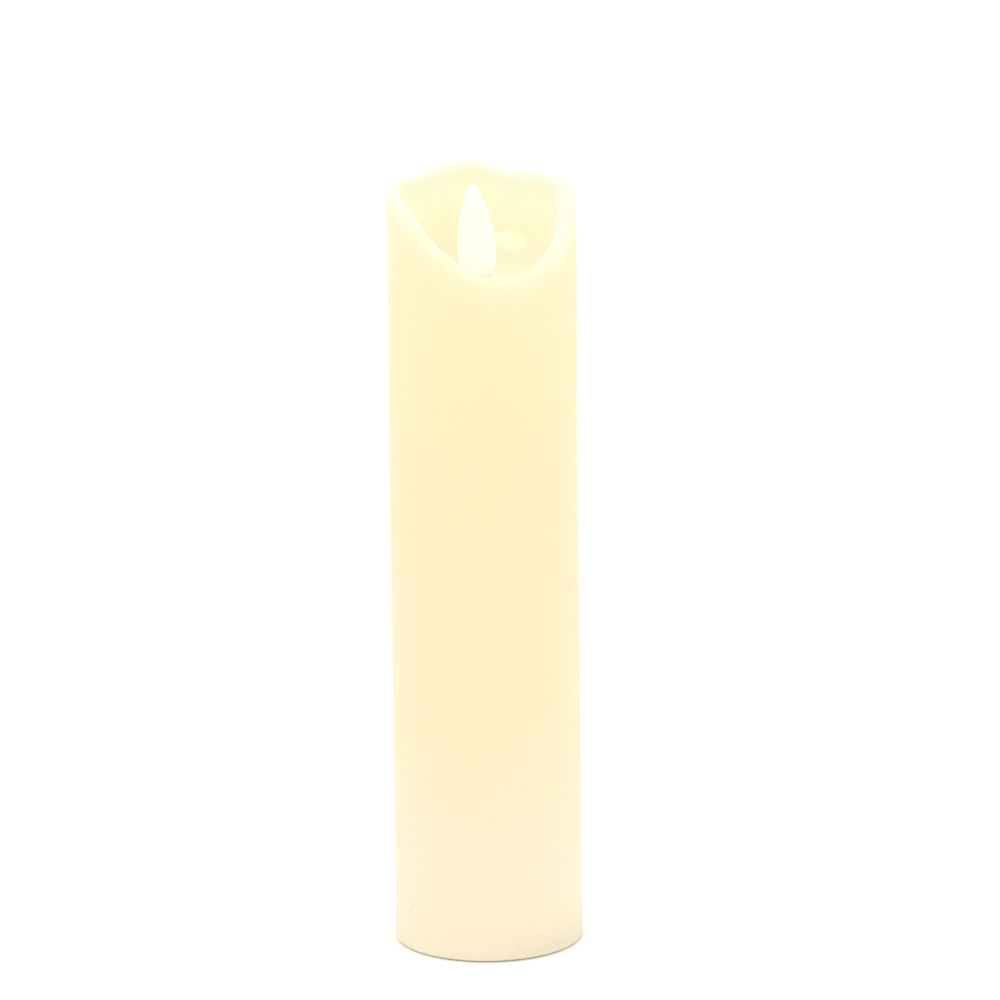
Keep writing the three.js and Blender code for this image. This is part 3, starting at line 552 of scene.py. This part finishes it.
# ------------------------------------------------------------------ wax shell
BASE_R, TAPER, FOOT, IN_R = 27.65, 0.0014, 0.5, 23.9
WALL, FLOOR_Z, UNDER, HOLE_R = 4.3, 196.6, 192.7, 11.4
RIM = [
    (0, 203.5), (10, 202.9), (20, 202.3), (33, 204.0), (46, 207.4), (61, 212.2),
    (76, 217.9), (86, 221.8), (95, 224.9), (104, 225.7), (116, 225.5), (128, 225.3),
    (138, 225.6), (147, 225.6), (157, 225.5), (165, 226.1), (172, 227.0), (180, 228.0),
    (188, 228.4), (197, 228.3), (204, 227.8), (212, 227.1), (221, 226.2), (230, 225.6),
    (240, 225.9), (250, 226.5), (262, 226.3), (274, 225.2), (286, 223.8), (297, 222.4),
    (313, 217.9), (327, 212.3), (339, 208.6), (350, 205.1),
]


def rim_height(deg):
    n = len(RIM)
    a = deg % 360

    def get(k):
        w, j = divmod(k, n)
        return RIM[j][0] + 360 * w, RIM[j][1]

    i = n - 1
    while i > 0 and RIM[i][0] > a:
        i -= 1
    p0, p1, p2, p3 = (get(i + d) for d in (-1, 0, 1, 2))
    h = p2[0] - p1[0]
    t = (a - p1[0]) / h
    m1 = (p2[1] - p0[1]) / (p2[0] - p0[0]) * h
    m2 = (p3[1] - p1[1]) / (p3[0] - p1[0]) * h
    return (2 * t**3 - 3 * t**2 + 1) * p1[1] + (t**3 - 2 * t**2 + t) * m1 + (-2 * t**3 + 3 * t**2) * p2[1] + (t**3 - t**2) * m2


def soft(seed, a, z, ka, kz):
    """Smooth, seeded undulation that closes round the candle; from -1 to 1."""
    rng = np.random.default_rng(seed)
    s = np.zeros_like(a)
    tot = 0.0
    for _ in range(9):
        k = rng.integers(1, ka + 1)
        w = rng.uniform(-kz, kz)
        ph = rng.uniform(0, 2 * math.pi)
        am = 1 / (0.6 + k * 0.3)
        s = s + am * np.sin(k * a + w * z + ph)
        tot += am
    return s / tot


def outside(d):
    """How much of the painted rim light shows on the outside, d mm below the ridge: the lip is painted paler where
    light comes through the thin wax.
    """
    return max(0.0, 1 - d / 13.0) ** 2


def inside(d):
    """The same on the wall of the well, where the painted pale band of rim light is wider."""
    u = min(1.0, d / 9.5)
    return 1 - u * u * (3 - 2 * u)


def wax_shell():
    seg = 360
    rows = []
    tags_r, tags_w = [], []
    for i in range(seg):
        deg = 360 * i / seg
        a = math.radians(deg)
        h = rim_height(deg)
        ro = BASE_R - TAPER * h
        # the lip is a little thicker where the wax ran down on the right
        u = max(0.0, 1 - ((deg - 86) / 52) ** 2)
        wide = 0.9 * u * u
        ri = ro - WALL - wide
        c, ci = 4.4, 2.6
        pts = []
        # foot: a small rounded edge, then the long side
        for k in range(5):
            q = k / 4 * math.pi / 2
            pts.append((BASE_R - 0.45 * (1 - math.sin(q)), FOOT + 0.45 * (1 - math.cos(q)), 0, 0))
        top = h - c
        n_side = 70
        for k in range(1, n_side + 1):
            u = k / n_side
            z = FOOT + 0.45 + (top - FOOT - 0.45) * u
            pts.append((BASE_R - TAPER * z, z, outside(h - z), 0))
        for k in range(1, 12):
            q = k / 11 * math.pi / 2
            pts.append((ro - WALL * 0.5 * (1 - math.cos(q)), top + c * math.sin(q), outside(h - top - c * math.sin(q)), 0))
        for k in range(1, 11):
            q = k / 10 * math.pi / 2
            pts.append((ri + (WALL * 0.5 + wide) * (1 - math.sin(q)), h - ci * (1 - math.cos(q)), inside(ci * (1 - math.cos(q))), 0.5 * k / 10))
        drop = h - ci - FLOOR_Z
        fz, fr = min(9.0, 0.85 * drop), 7.5
        lean = 0.4 * min(1.0, drop / 20)
        z_top, z_fil = h - ci, FLOOR_Z + fz
        n_wall = 16
        for k in range(1, n_wall + 1):
            u = k / n_wall
            s = u * u * (3 - 2 * u)
            pts.append((ri - lean * s, z_top + (z_fil - z_top) * u, inside(ci + (z_top - z_fil) * u), 0.5 + 0.5 * min(1.0, u * 2)))
        for k in range(1, 17):
            q = k / 16 * math.pi / 2
            pts.append((ri - lean - fr * (1 - math.cos(q)), FLOOR_Z + fz * (1 - math.sin(q)), 0, 1))
        r_end = ri - lean - fr
        for k in range(1, 7):
            u = k / 6
            pts.append((r_end + (HOLE_R + 0.7 - r_end) * u, FLOOR_Z - 0.12 * u * u, 0, 1))
        for k in range(1, 6):
            q = k / 5 * math.pi / 2
            pts.append((HOLE_R + 0.7 * (1 - math.sin(q)), FLOOR_Z - 0.12 - 0.7 * (1 - math.cos(q)), 0, 1))
        pts.append((HOLE_R, UNDER + 0.2, 0, 0.5))
        pts.append((HOLE_R + 0.2, UNDER, 0, 0))
        pts.append((IN_R - 0.2, UNDER, 0, 0))
        for z in np.linspace(UNDER - 0.2, FOOT + 0.3, 12):
            pts.append((IN_R, float(z), 0, 0))
        pts.append((IN_R + 0.3, FOOT, 0, 0))
        rows.append(pts)
    n = len(rows[0])
    R = np.array([[p[0] for p in r] for r in rows])
    Z = np.array([[p[1] for p in r] for r in rows])
    TR = np.array([[p[2] for p in r] for r in rows])
    TW = np.array([[p[3] for p in r] for r in rows])
    A = np.radians(np.arange(seg) * 360 / seg)[:, None] * np.ones((1, n))
    j = np.arange(n)[None, :] * np.ones((seg, 1))
    outer = (j <= 75 + 11).astype(float)
    # hand-cast wax: shallow hollows on the outside, always inwards of the turned surface
    side = np.clip((Z - 3) / 12, 0, 1) * outer
    R = R - side * 0.07 * (0.5 + 0.5 * soft(3, A, Z / 26.0, 5, 2.0))
    # melted rim and well: thickness and surface wander slightly
    rimzone = ((j > 70) & (j < 86 + 40)).astype(float) * np.clip(TR + TW, 0, 1)
    R = R + rimzone * 0.22 * soft(11, A, Z / 9.0, 7, 1.2) * (Z > FLOOR_Z + 0.5)
    Z = Z + np.clip(TR, 0, 1) * 0.10 * (soft(17, A, R, 14, 0.3) - 1.0)
    R = np.minimum(R, BASE_R - TAPER * Z - 0.001)
    X, Y = R * np.sin(A), -R * np.cos(A)
    # the cast stands a quarter of a millimetre out of line above the wax's cold front
    u = np.clip((Z - 164) / 24, 0, 1)
    X = X + 0.24 * u * u * (3 - 2 * u) * np.clip((114 - j) / 16, 0, 1)
    verts = np.stack([X, Y, Z], -1).reshape(-1, 3)
    faces = []
    for i in range(seg):
        i2 = (i + 1) % seg
        for k in range(n):
            k2 = (k + 1) % n
            faces.append((i * n + k, i2 * n + k, i2 * n + k2, i * n + k2))
    o = make("wax_shell_soft", verts.tolist(), faces, M["wax"], smooth=False)
    smooth_by_angle(o, 50)
    for name, arr in (("rim", TR), ("well", TW)):
        at = o.data.attributes.new(name, "FLOAT", "POINT")
        at.data.foreach_set("value", np.clip(arr, 0, 1).astype(np.float32).ravel())
    return put(o, "candle", "wax_shell")


wax_shell()

# ------------------------------------------------------------------ flame blade
PIVOT, LEAN, TIP = 186.0, math.radians(-3.2), 225.65
BLADE = [
    (0, 0), (0.3, 0.75), (1.05, 1.36), (1.95, 1.74), (2.85, 2.14), (3.75, 2.5), (4.65, 2.85), (5.55, 3.15), (6.45, 3.43),
    (7.35, 3.73), (8.25, 4.01), (9.15, 4.25), (10.1, 4.47), (11.2, 4.69), (12.4, 4.92), (13.6, 5.17), (14.8, 5.42),
    (16, 5.54), (17.4, 5.56), (19, 5.5), (20.6, 5.42), (22.2, 5.32), (23.4, 5.18), (24.4, 4.95), (25.3, 4.58),
    (26.2, 4.08), (27, 3.4), (27.6, 2.6),
]


def leaned(v):
    """From the upright blade to the blade at rest, turned about the pivot."""
    c, s = math.cos(LEAN), math.sin(LEAN)
    x, y, z = v[0], v[1], v[2] - PIVOT
    return (x * c + z * s, y, -x * s + z * c + PIVOT)


def smooth_curve(points, count):
    xs = np.array([p[0] for p in points], float)
    ys = np.array([p[1] for p in points], float)
    q = np.linspace(xs[0], xs[-1], count)
    y = np.interp(q, xs, ys)
    k = np.array([1, 2, 3, 4, 3, 2, 1], float)
    k /= k.sum()
    for _ in range(2):
        pad = np.concatenate([2 * y[0] - y[3:0:-1], y, 2 * y[-1] - y[-2:-5:-1]])
        y = np.convolve(pad, k, "valid")
    y[0] = 0
    return q, y


def box_data(x0, x1, y0, y1, z0, z1):
    v = [(x, y, z) for x in (x0, x1) for y in (y0, y1) for z in (z0, z1)]
    f = [(0, 1, 3, 2), (4, 6, 7, 5), (0, 4, 5, 1), (2, 3, 7, 6), (0, 2, 6, 4), (1, 5, 7, 3)]
    return v, f


def prism_y(outline, y0, y1):
    """An outline of (x, z) points made thick along Y."""
    n = len(outline)
    v = [(x, y0, z) for x, z in outline] + [(x, y1, z) for x, z in outline]
    f = [tuple(range(n)), tuple(reversed(range(n, 2 * n)))]
    f += [(i, i + n, (i + 1) % n + n, (i + 1) % n) for i in range(n)]
    return v, f


def scratch(data):
    o = make("scratch", data[0], data[1], [], smooth=False)
    return o


def boolean(o, other, op="UNION"):
    mod = o.modifiers.new("b", "BOOLEAN")
    mod.operation = op
    mod.object = other
    mod.solver = "EXACT"
    bake(o)
    bpy.data.objects.remove(other)
    return o


def flame_blade():
    q, w = smooth_curve(BLADE, 110)
    sides = 64
    verts, faces = [(0, 0, TIP)], []
    rows = []
    for d, half in zip(q[1:], w[1:]):
        z = TIP - d
        start = len(verts)
        full = 1.0 * min(1.0, 0.28 + 0.72 * min(1.0, half / 3.6))
        for k in range(sides):
            a = 2 * math.pi * k / sides
            u, s = math.cos(a), math.sin(a)
            verts.append((half * u, math.copysign(full * abs(s) ** 0.85, s), z))
        rows.append(start)
    for k in range(sides):
        faces.append((0, rows[0] + k, rows[0] + (k + 1) % sides))
    for a, b in zip(rows, rows[1:]):
        for k in range(sides):
            l = (k + 1) % sides
            faces.append((a + k, b + k, b + l, a + l))
    # rounded underside
    last = rows[-1]
    prev = last
    for f, dz in ((0.86, 0.22), (0.62, 0.36), (0.3, 0.44)):
        start = len(verts)
        for k in range(sides):
            x, y, z = verts[last + k]
            verts.append((x * f, y * f, z - dz))
        for k in range(sides):
            l = (k + 1) % sides
            faces.append((prev + k, start + k, start + l, prev + l))
        prev = start
    faces.append(tuple(prev + k for k in range(sides)))
    o = make("flame_blade_soft", verts, faces, M["flame"], smooth=False)
    z = lambda v: v
    neck = [(-1.5, 201), (1.5, 201), (1.42, 197), (1.25, 192), (1.3, 189), (1.55, 187.4), (-1.55, 187.4), (-1.3, 189), (-1.25, 192), (-1.42, 197)]
    boolean(o, scratch(prism_y(neck, -0.7, 0.7)))
    # pivot eye: a short barrel along Y
    barrel, hole = [], []
    for k in range(48):
        a = 2 * math.pi * k / 48
        barrel.append((2.6 * math.cos(a), 185.5 + 2.6 * math.sin(a)))
        hole.append((0.92 * math.cos(a), 185.5 + 0.92 * math.sin(a)))
    boolean(o, scratch(prism_y(barrel, -0.8, 0.8)))
    tail = [(-1.4, 184.5), (1.4, 184.5), (1.5, 178), (1.7, 168), (2.3, 165.2), (-2.3, 165.2), (-1.7, 168), (-1.5, 178)]
    boolean(o, scratch(prism_y(tail, -0.7, 0.7)))
    boolean(o, scratch(lathe_data(rounded([(0, 160.2), (3.3, 160.2), (3.3, 166.0), (0, 166.0)], 0.35), 64)))
    boolean(o, scratch(lathe_data([(0, 159.0), (2.62, 159.0), (2.62, 163.7), (0, 163.7)], 64)), "DIFFERENCE")
    boolean(o, scratch(prism_y(hole, -3, 3)), "DIFFERENCE")
    for v in o.data.vertices:
        v.co = Vector(leaned([c / MM for c in v.co])) * MM
    smooth_by_angle(o, 38)
    return put(o, "flame", "flame_blade")


flame_blade()

# magnet: a plated disc with rounded rims
o = turned("flame_magnet_plated", rounded([(0, 160.5), (2.5, 160.5), (2.5, 163.5), (0, 163.5)], 0.22, 4), M["magnet"], 72)
for v in o.data.vertices:
    v.co = Vector(leaned([c / MM for c in v.co])) * MM
put(o, "flame", "flame_magnet")


# ------------------------------------------------------------------ moulded pieces carried over with softened edges
def refine(node, mats, body, width=0.12, angle=40, segs=2, faces=None):
    """A copy of a CAD node with its flat faces joined up and its sharp edges rounded over."""
    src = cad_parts[node]
    bm = bmesh.new()
    bm.from_mesh(src.data)
    bmesh.ops.remove_doubles(bm, verts=bm.verts, dist=2e-6)
    bmesh.ops.dissolve_limit(bm, angle_limit=math.radians(0.6), verts=bm.verts, edges=bm.edges)
    me = bpy.data.meshes.new(node + "_fine")
    bm.to_mesh(me)
    bm.free()
    o = bpy.data.objects.new(node + "_fine", me)
    bpy.context.scene.collection.objects.link(o)
    for x in mats if isinstance(mats, (list, tuple)) else [mats]:
        me.materials.append(x)
    if faces:
        for p in me.polygons:
            c = Vector((0, 0, 0))
            for i in p.vertices:
                c += me.vertices[i].co
            p.material_index = faces(c / len(p.vertices) / MM, p.normal)
    if width:
        mod = o.modifiers.new("bevel", "BEVEL")
        mod.width = width * MM
        mod.segments = segs
        mod.limit_method = "ANGLE"
        mod.angle_limit = math.radians(angle)
        mod.use_clamp_overlap = True
        bake(o)
    smooth_by_angle(o, 32)
    put(o, body, node)
    return o


for node, key, body, slot_name, width in (
    ("base_chassis", "ivory", "candle", "ivory_plastic", 0.12),
    ("battery_door", "ivory", "door", "ivory_plastic", 0.14),
    ("module_housing_left", "ivory", "candle", "ivory_plastic", 0.10),
    ("module_housing_right", "ivory", "candle", "ivory_plastic", 0.10),
    ("core_tube", "core", "candle", "core_plastic", 0.12),
    ("switch_knob", "dark", "switch", "dark_plastic", 0.08),
    ("switch_actuator", "dark", "switch", "dark_plastic", 0.08),
    ("switch_insulator", "dark", "candle", "dark_plastic", 0.05),
    ("switch_frame", "steel", "candle", "steel", 0.06),
    ("switch_board", "board", "candle", "board", 0.05),
    ("flame_board", "board", "candle", "board", 0.06),
    ("door_contact", "nickel", "door", "nickel", 0.06),
    ("contact_positive", "nickel", "candle", "nickel", 0.06),
    ("contact_negative", "nickel", "candle", "nickel", 0.06),
):
    refine(node, M[key], body, width)
for i in (1, 2, 3):
    refine(f"switch_terminal_{i}", M["nickel"], "candle", 0.05)
refine("controller_chip", [M["chip"], M["nickel"]], "candle", 0.05, faces=lambda c, n: int(c.y < 3.15 or c.y > 7.05))
refine("driver_transistor", [M["chip"], M["nickel"]], "candle", 0.04, faces=lambda c, n: int(c.y < -4.25 or c.y > -2.85))
refine("flyback_diode", [M["chip"], M["nickel"]], "candle", 0.05, faces=lambda c, n: int(abs(n.x) > 0.9))
for i in (1, 2):
    refine(f"resistor_{i}", [M["chip"], M["nickel"]], "candle", 0.05, faces=lambda c, n: int(abs(n.x) > 0.9))


# ------------------------------------------------------------------ turned and drawn pieces
def cell(name, node, x, y, z0, flip):
    prof = [(0, 0), (5.0, 0), (5.25, 0.1), (5.3, 0.28), (6.4, 0.3), (6.85, 0.42), (7.12, 0.8), (7.15, 1.2), (7.15, 12), (7.15, 24), (7.15, 36),
            (7.15, 47.8), (7.10, 48.3), (6.85, 48.7), (6.45, 48.86), (6.0, 48.88), (3.3, 48.9), (3.0, 48.95), (2.75, 49.15), (2.7, 50.1), (2.55, 50.4), (2.2, 50.5), (0, 50.5)]
    o = turned(name, prof, M["cell"], 96, angle=60)
    n = len(o.data.vertices)
    along = [v.co.z / MM / 50.5 for v in o.data.vertices]
    radial = [math.hypot(v.co.x, v.co.y) / MM / 7.15 for v in o.data.vertices]
    for nm, arr in (("along", along), ("radial", radial)):
        at = o.data.attributes.new(nm, "FLOAT", "POINT")
        at.data.foreach_set("value", arr)
    s = -1 if flip else 1
    for v in o.data.vertices:
        v.co = Vector((v.co.x + x * MM, s * v.co.y + y * MM, s * v.co.z + z0 * MM))
    put(o, "candle", node)


cell("battery_1_sleeved", "battery_1", -7.6, 4.0, 7.8, False)
cell("battery_2_sleeved", "battery_2", 7.6, 4.0, 54.6, True)


def helix(x, y, z0, z1, r0, r1, turns, per=40):
    pts = []
    n = int(turns * per)
    for i in range(n + 1):
        t = i / n
        a = 2 * math.pi * turns * t
        r = r0 + (r1 - r0) * t
        e = min(max((t * turns - 0.5) / (turns - 1), 0), 1)
        rise = 0.12 * min(t * turns, 0.5) + 0.12 * max(0.0, t * turns - (turns - 0.5))
        z = z0 + (z1 - z0) * (0.88 * e + rise)
        pts.append((x + r * math.cos(a), y + r * math.sin(a), z))
    return pts


def tube(name, path, r, mat, body, node, sides=14):
    v, f = tube_data(path, r, sides)
    o = make(name, v, f, mat, smooth=False)
    smooth_by_angle(o, 50)
    return put(o, body, node)


tube("door_spring_coil", helix(-7.6, 4.0, 3.65, 7.2, 4.6, 2.7, 3.5), 0.38, M["nickel"], "door", "door_spring")
tube("top_spring_coil", helix(7.6, 4.0, 55.05, 58.4, 2.7, 4.6, 3.5), 0.38, M["nickel"], "candle", "top_spring")
tube("pivot_wire_bent", catmull([(0, -13.1, 182.4), (0, -13.1, 184.4), (0, -13.1, 185.6), (0, -12.6, 186), (0, -6, 186), (0, 6, 186), (0, 12.6, 186), (0, 13.1, 185.6), (0, 13.1, 184.4), (0, 13.1, 182.4)], 8), 0.35, M["steel"], "candle", "pivot_wire", 20)
LED_BASE, TILT = (0.0, -9.2, 188.6), math.radians(25)
ay, az = math.sin(TILT), math.cos(TILT)
for x, n, m in ((1.27, "anode", "red"), (-1.27, "cathode", "black")):
    p1 = (x, LED_BASE[1] - ay * 0.3, LED_BASE[2] - az * 0.3)
    p2 = (x, LED_BASE[1] - ay * 1.3, LED_BASE[2] - az * 1.3)
    tube(f"led_lead_{n}_tinned", catmull([p1, p2, (x, -9.95, 186.0), (x, -9.95, 183), (x, -9.95, 180.6)], 8), 0.24, M["nickel"], "candle", f"led_lead_{n}", 12)
    tube(f"led_wire_{n}_sleeved", catmull([(x, -9.95, 180.3), (x * 1.1, -9.7, 177), (x * 1.4, -8.9, 172), (x * 1.6, -8.7, 164), (x * 1.7, -8.8, 156), (x * 1.73, -9.0, 151), (x * 1.73, -9.0, 148.5)], 8), 0.5, M[m], "candle", f"led_wire_{n}")
for n, m, pts in (
    ("wire_battery_to_switch", "red", [(-7.6, 8.3, 63.6), (-9.5, 10.5, 66.5), (-14.5, 9.5, 67), (-18.6, 3.5, 60), (-19.2, -2, 45), (-17.5, -7.5, 25), (-10, -12.4, 17), (-3.2, -13, 14), (-3, -13, 11.7)]),
    ("wire_switch_to_board", "red", [(0, -13, 11.7), (0.3, -12.6, 14.5), (8, -11.8, 20), (16.5, -8.5, 32), (18.8, -1, 60), (18, 4, 90), (14, 7.5, 118), (9.5, 9.2, 134), (8.3, 9.6, 142), (8.3, 9.6, 146.7)]),
    ("wire_battery_negative", "black", [(7.6, 8.3, 63.6), (7.0, 10.0, 67.5), (3, 10.5, 82), (-3, 11.5, 105), (-7, 11, 126), (-7.2, 9.4, 140), (-7.2, 9.4, 146.7)]),
):
    tube(n + "_sleeved", catmull(pts, 14), 0.62, M[m], "candle", n, 16)

# hinge pin with chamfered ends, along X
pin_v, pin_f = lathe_data(rounded([(0, -7.9), (0.7, -7.9), (0.7, 7.9), (0, 7.9)], 0.18, 3), 40)
o = make("hinge_pin_turned", [(z, 14.9 + y, 1.9 - x) for x, y, z in pin_v], pin_f, M["steel"], smooth=False)
smooth_by_angle(o, 40)
put(o, "candle", "hinge_pin")

# coil: bobbin, winding with rounded shoulders
put(turned("coil_bobbin_moulded", rounded([(1.4, 148.4), (7, 148.4), (7, 149.2), (2.8, 149.2), (2.8, 156.6), (7, 156.6), (7, 157.4), (1.4, 157.4)], 0.15, 3, True), M["dark"], 80, closed=True), "candle", "coil_bobbin")
put(turned("coil_winding_wound", rounded([(2.95, 149.35), (6.3, 149.35), (6.5, 149.8), (6.46, 151.5), (6.5, 153.2), (6.46, 154.8), (6.5, 156.0), (6.3, 156.45), (2.95, 156.45)], 0.12, 2, True), M["copper"], 80, closed=True), "candle", "coil_winding")


# capacitor with a crimped sleeve and a bare top
def capacitor():
    prof = [(0, 140.0), (1.6, 140.0), (2.0, 140.02), (2.3, 140.12), (2.48, 140.4), (2.5, 141), (2.5, 145.3), (2.44, 145.6), (2.32, 145.85), (2.32, 145.95), (2.44, 146.2), (2.5, 146.4), (2.45, 146.7), (2.2, 146.8), (0, 146.8)]
    o = turned("smoothing_capacitor_sleeved", prof, [M["sleeve"], M["steel"]], 64, 5.2, -6.4)
    for p in o.data.polygons:
        c = p.center / MM
        if c.z < 140.1 and math.hypot(c.x - 5.2, c.y + 6.4) < 1.9:
            p.material_index = 1
    put(o, "candle", "smoothing_capacitor")


capacitor()


# LED with a lens dome and a flange with its flat
def led():
    prof = [(0, 0), (2.7, 0), (2.85, 0.12), (2.85, 0.88), (2.72, 1.0), (2.5, 1.02)]
    prof += [(2.5, 2.5), (2.5, 4.0), (2.5, 5.4), (2.5, 6.1)]
    for k in range(1, 15):
        q = k / 14 * math.pi / 2
        prof.append((2.5 * math.cos(q) if k < 14 else 0.0, 6.1 + 2.5 * math.sin(q)))
    v, f = lathe_data(prof, 72)
    w = []
    for x, y, z in v:
        if z < 1.01:
            y = max(y, -2.62)
        w.append((x, LED_BASE[1] + y * az + z * ay, LED_BASE[2] - y * ay + z * az))
    o = make("led_lens", w, f, M["led"], smooth=False)
    smooth_by_angle(o, 40)
    put(o, "candle", "led")


led()


# screws: pan head with a cross recess, threaded shank with a point
def screw(node, head_r, head_h, shank_r, length, place, body="candle"):
    """place maps a point of a screw that stands on its shank, head down at z = 0, to the row frame."""
    prof = [(0, 0)]
    for k in range(9):
        q = k / 8 * math.pi / 2
        prof.append((head_r * (0.62 + 0.38 * math.sin(q)), head_h * 0.72 * (1 - math.cos(q))))
    prof += [(head_r, head_h * 0.93), (head_r * 0.97, head_h), (shank_r * 1.0, head_h)]
    seg, v = 40, []
    rings = []
    core = shank_r * 0.78
    pitch = shank_r * 0.62
    body_end, tip = head_h + length - 1.6 * shank_r, head_h + length
    rows = [(r, z, 0) for r, z in prof[1:]]
    n = max(20, int((tip - head_h - 0.05) / (pitch / 7)))
    for k in range(1, n + 1):
        z = head_h + (tip - head_h) * k / n
        taper = 1.0 if z < body_end else max(0.02, 1 - (z - body_end) / (tip - body_end))
        rows.append((taper, z, 1))
    v.append((0, 0, 0))
    for r, z, kind in rows:
        ring = []
        for i in range(seg):
            a = 2 * math.pi * i / seg
            rr = r
            if kind:
                f = (z / pitch - i / seg) % 1.0
                ridge = max(0.0, 1 - abs(f - 0.5) / 0.28)
                start = min(1.0, (z - head_h) / (pitch * 1.5))
                rr = r * (core + (shank_r - core) * ridge * start)
            ring.append(len(v))
            v.append((rr * math.cos(a), rr * math.sin(a), z))
        rings.append(ring)
    faces = [(0, rings[0][(i + 1) % seg], rings[0][i]) for i in range(seg)]
    for a, b in zip(rings, rings[1:]):
        faces += [(a[i], a[(i + 1) % seg], b[(i + 1) % seg], b[i]) for i in range(seg)]
    faces.append(tuple(rings[-1]))
    o = make(node + "_threaded", v, faces, M["steel"], smooth=False)
    w, l, d = head_r * 0.15, head_r * 0.56, head_h * 0.5
    cut, cf = box_data(-l, l, -w, w, -0.2, d)
    boolean(o, scratch((cut, cf)), "DIFFERENCE")
    cut, cf = box_data(-w, w, -l, l, -0.2, d)
    boolean(o, scratch((cut, cf)), "DIFFERENCE")
    for q in o.data.vertices:
        q.co = Vector(place(*(c / MM for c in q.co))) * MM
    bm = bmesh.new()
    bm.from_mesh(o.data)
    bmesh.ops.recalc_face_normals(bm, faces=bm.faces)
    bm.to_mesh(o.data)
    bm.free()
    smooth_by_angle(o, 40)
    return put(o, body, node)


for i, d in enumerate((55, 125, 270)):
    x0, y0 = 19.2 * math.cos(math.radians(d)), 19.2 * math.sin(math.radians(d))
    turn = math.radians((23, 71, 8)[i])
    screw(f"base_screw_{i + 1}", 2.3, 1.2, 1.0, 8.5, lambda x, y, z, x0=x0, y0=y0, t=turn: (x0 + x * math.cos(t) - y * math.sin(t), y0 + x * math.sin(t) + y * math.cos(t), 0.75 + z))
for i, s in enumerate((-1, 1)):
    screw(f"switch_screw_{i + 1}", 1.7, 1.0, 0.62, 5.6, lambda x, y, z, s=s: (s * 9.6 + x, -13 - y, 11.2 - z))
    screw(f"module_screw_{i + 1}", 1.8, 1.0, 0.8, 13.5, lambda x, y, z, s=s: (-9.2 + z, s * 12.1 + y, 168 - x))
    screw(f"module_mount_screw_{i + 1}", 2.1, 1.1, 0.8, 10.5, lambda x, y, z, s=s: (s * 18.8 + x, -y, 191.65 - z))
    screw(f"board_screw_{i + 1}", 1.6, 0.95, 0.7, 6.2, lambda x, y, z, s=s: (s * 10.6 + x, y, 145.9 + z))


# ------------------------------------------------------------------ stage and light
def stage():
    n, half = 2, 6.0
    me = bpy.data.meshes.new("floor")
    me.from_pydata([(-half, -half, 0), (half, -half, 0), (half, half, 0), (-half, half, 0)], [], [(0, 1, 2, 3)])
    floor = bpy.data.objects.new("floor", me)
    bpy.context.scene.collection.objects.link(floor)
    m = Nodes("floor_white")
    n1 = m.noise(6, 2, 0.5)
    m.colour(m.ramp(n1, [(0.3, (0.93, 0.93, 0.93)), (0.7, (0.95, 0.95, 0.95))]))
    m.rough(m.remap(n1, 0.3, 0.7, 0.8, 0.9))
    m.bsdf.inputs["Specular IOR Level"].default_value = 0.2
    m.set(Emission_Strength=0.06)
    me.materials.append(m.mat)

    world = bpy.data.worlds.new("studio")
    bpy.context.scene.world = world
    world.use_nodes = True
    world.node_tree.nodes["Background"].inputs["Color"].default_value = (1.0, 1.0, 1.0, 1)
    world.node_tree.nodes["Background"].inputs["Strength"].default_value = 1.12

    def area(name, place, target, size, power, col=(1, 1, 1)):
        d = bpy.data.lights.new(name, "AREA")
        d.shape = "RECTANGLE"
        d.size, d.size_y = size
        d.energy = power
        d.color = col
        o = bpy.data.objects.new(name, d)
        o.location = place
        o.rotation_euler = (Vector(target) - Vector(place)).to_track_quat("-Z", "Y").to_euler()
        bpy.context.scene.collection.objects.link(o)
        return o

    area("top_softbox", (0.0, 0.15, 1.5), (0, 0, 0.1), (1.1, 1.1), 2.0)
    # the candle's own LED: it lights the flame and spills past its neck on the wall behind
    d = bpy.data.lights.new("led_spill", "SPOT")
    d.energy = 0.0075
    d.color = (1.0, 0.95, 0.78)
    d.spot_size, d.spot_blend = math.radians(24), 1.0
    d.shadow_soft_size = 0.0006
    o = bpy.data.objects.new("led_spill", d)
    o.location = Vector((3.9, -3.0, 198.0)) * MM
    o.scale = (1.15, 0.5, 1.0)
    o.rotation_euler = (Vector((8.6, 20.9, 205.2)) * MM - o.location).to_track_quat("-Z", "Y").to_euler()
    bpy.context.scene.collection.objects.link(o)


stage()
sc = bpy.context.scene
sc.view_settings.view_transform = "Standard"
sc.view_settings.look = "None"
sc.view_settings.exposure = 0.0
sc.view_settings.gamma = 1.0
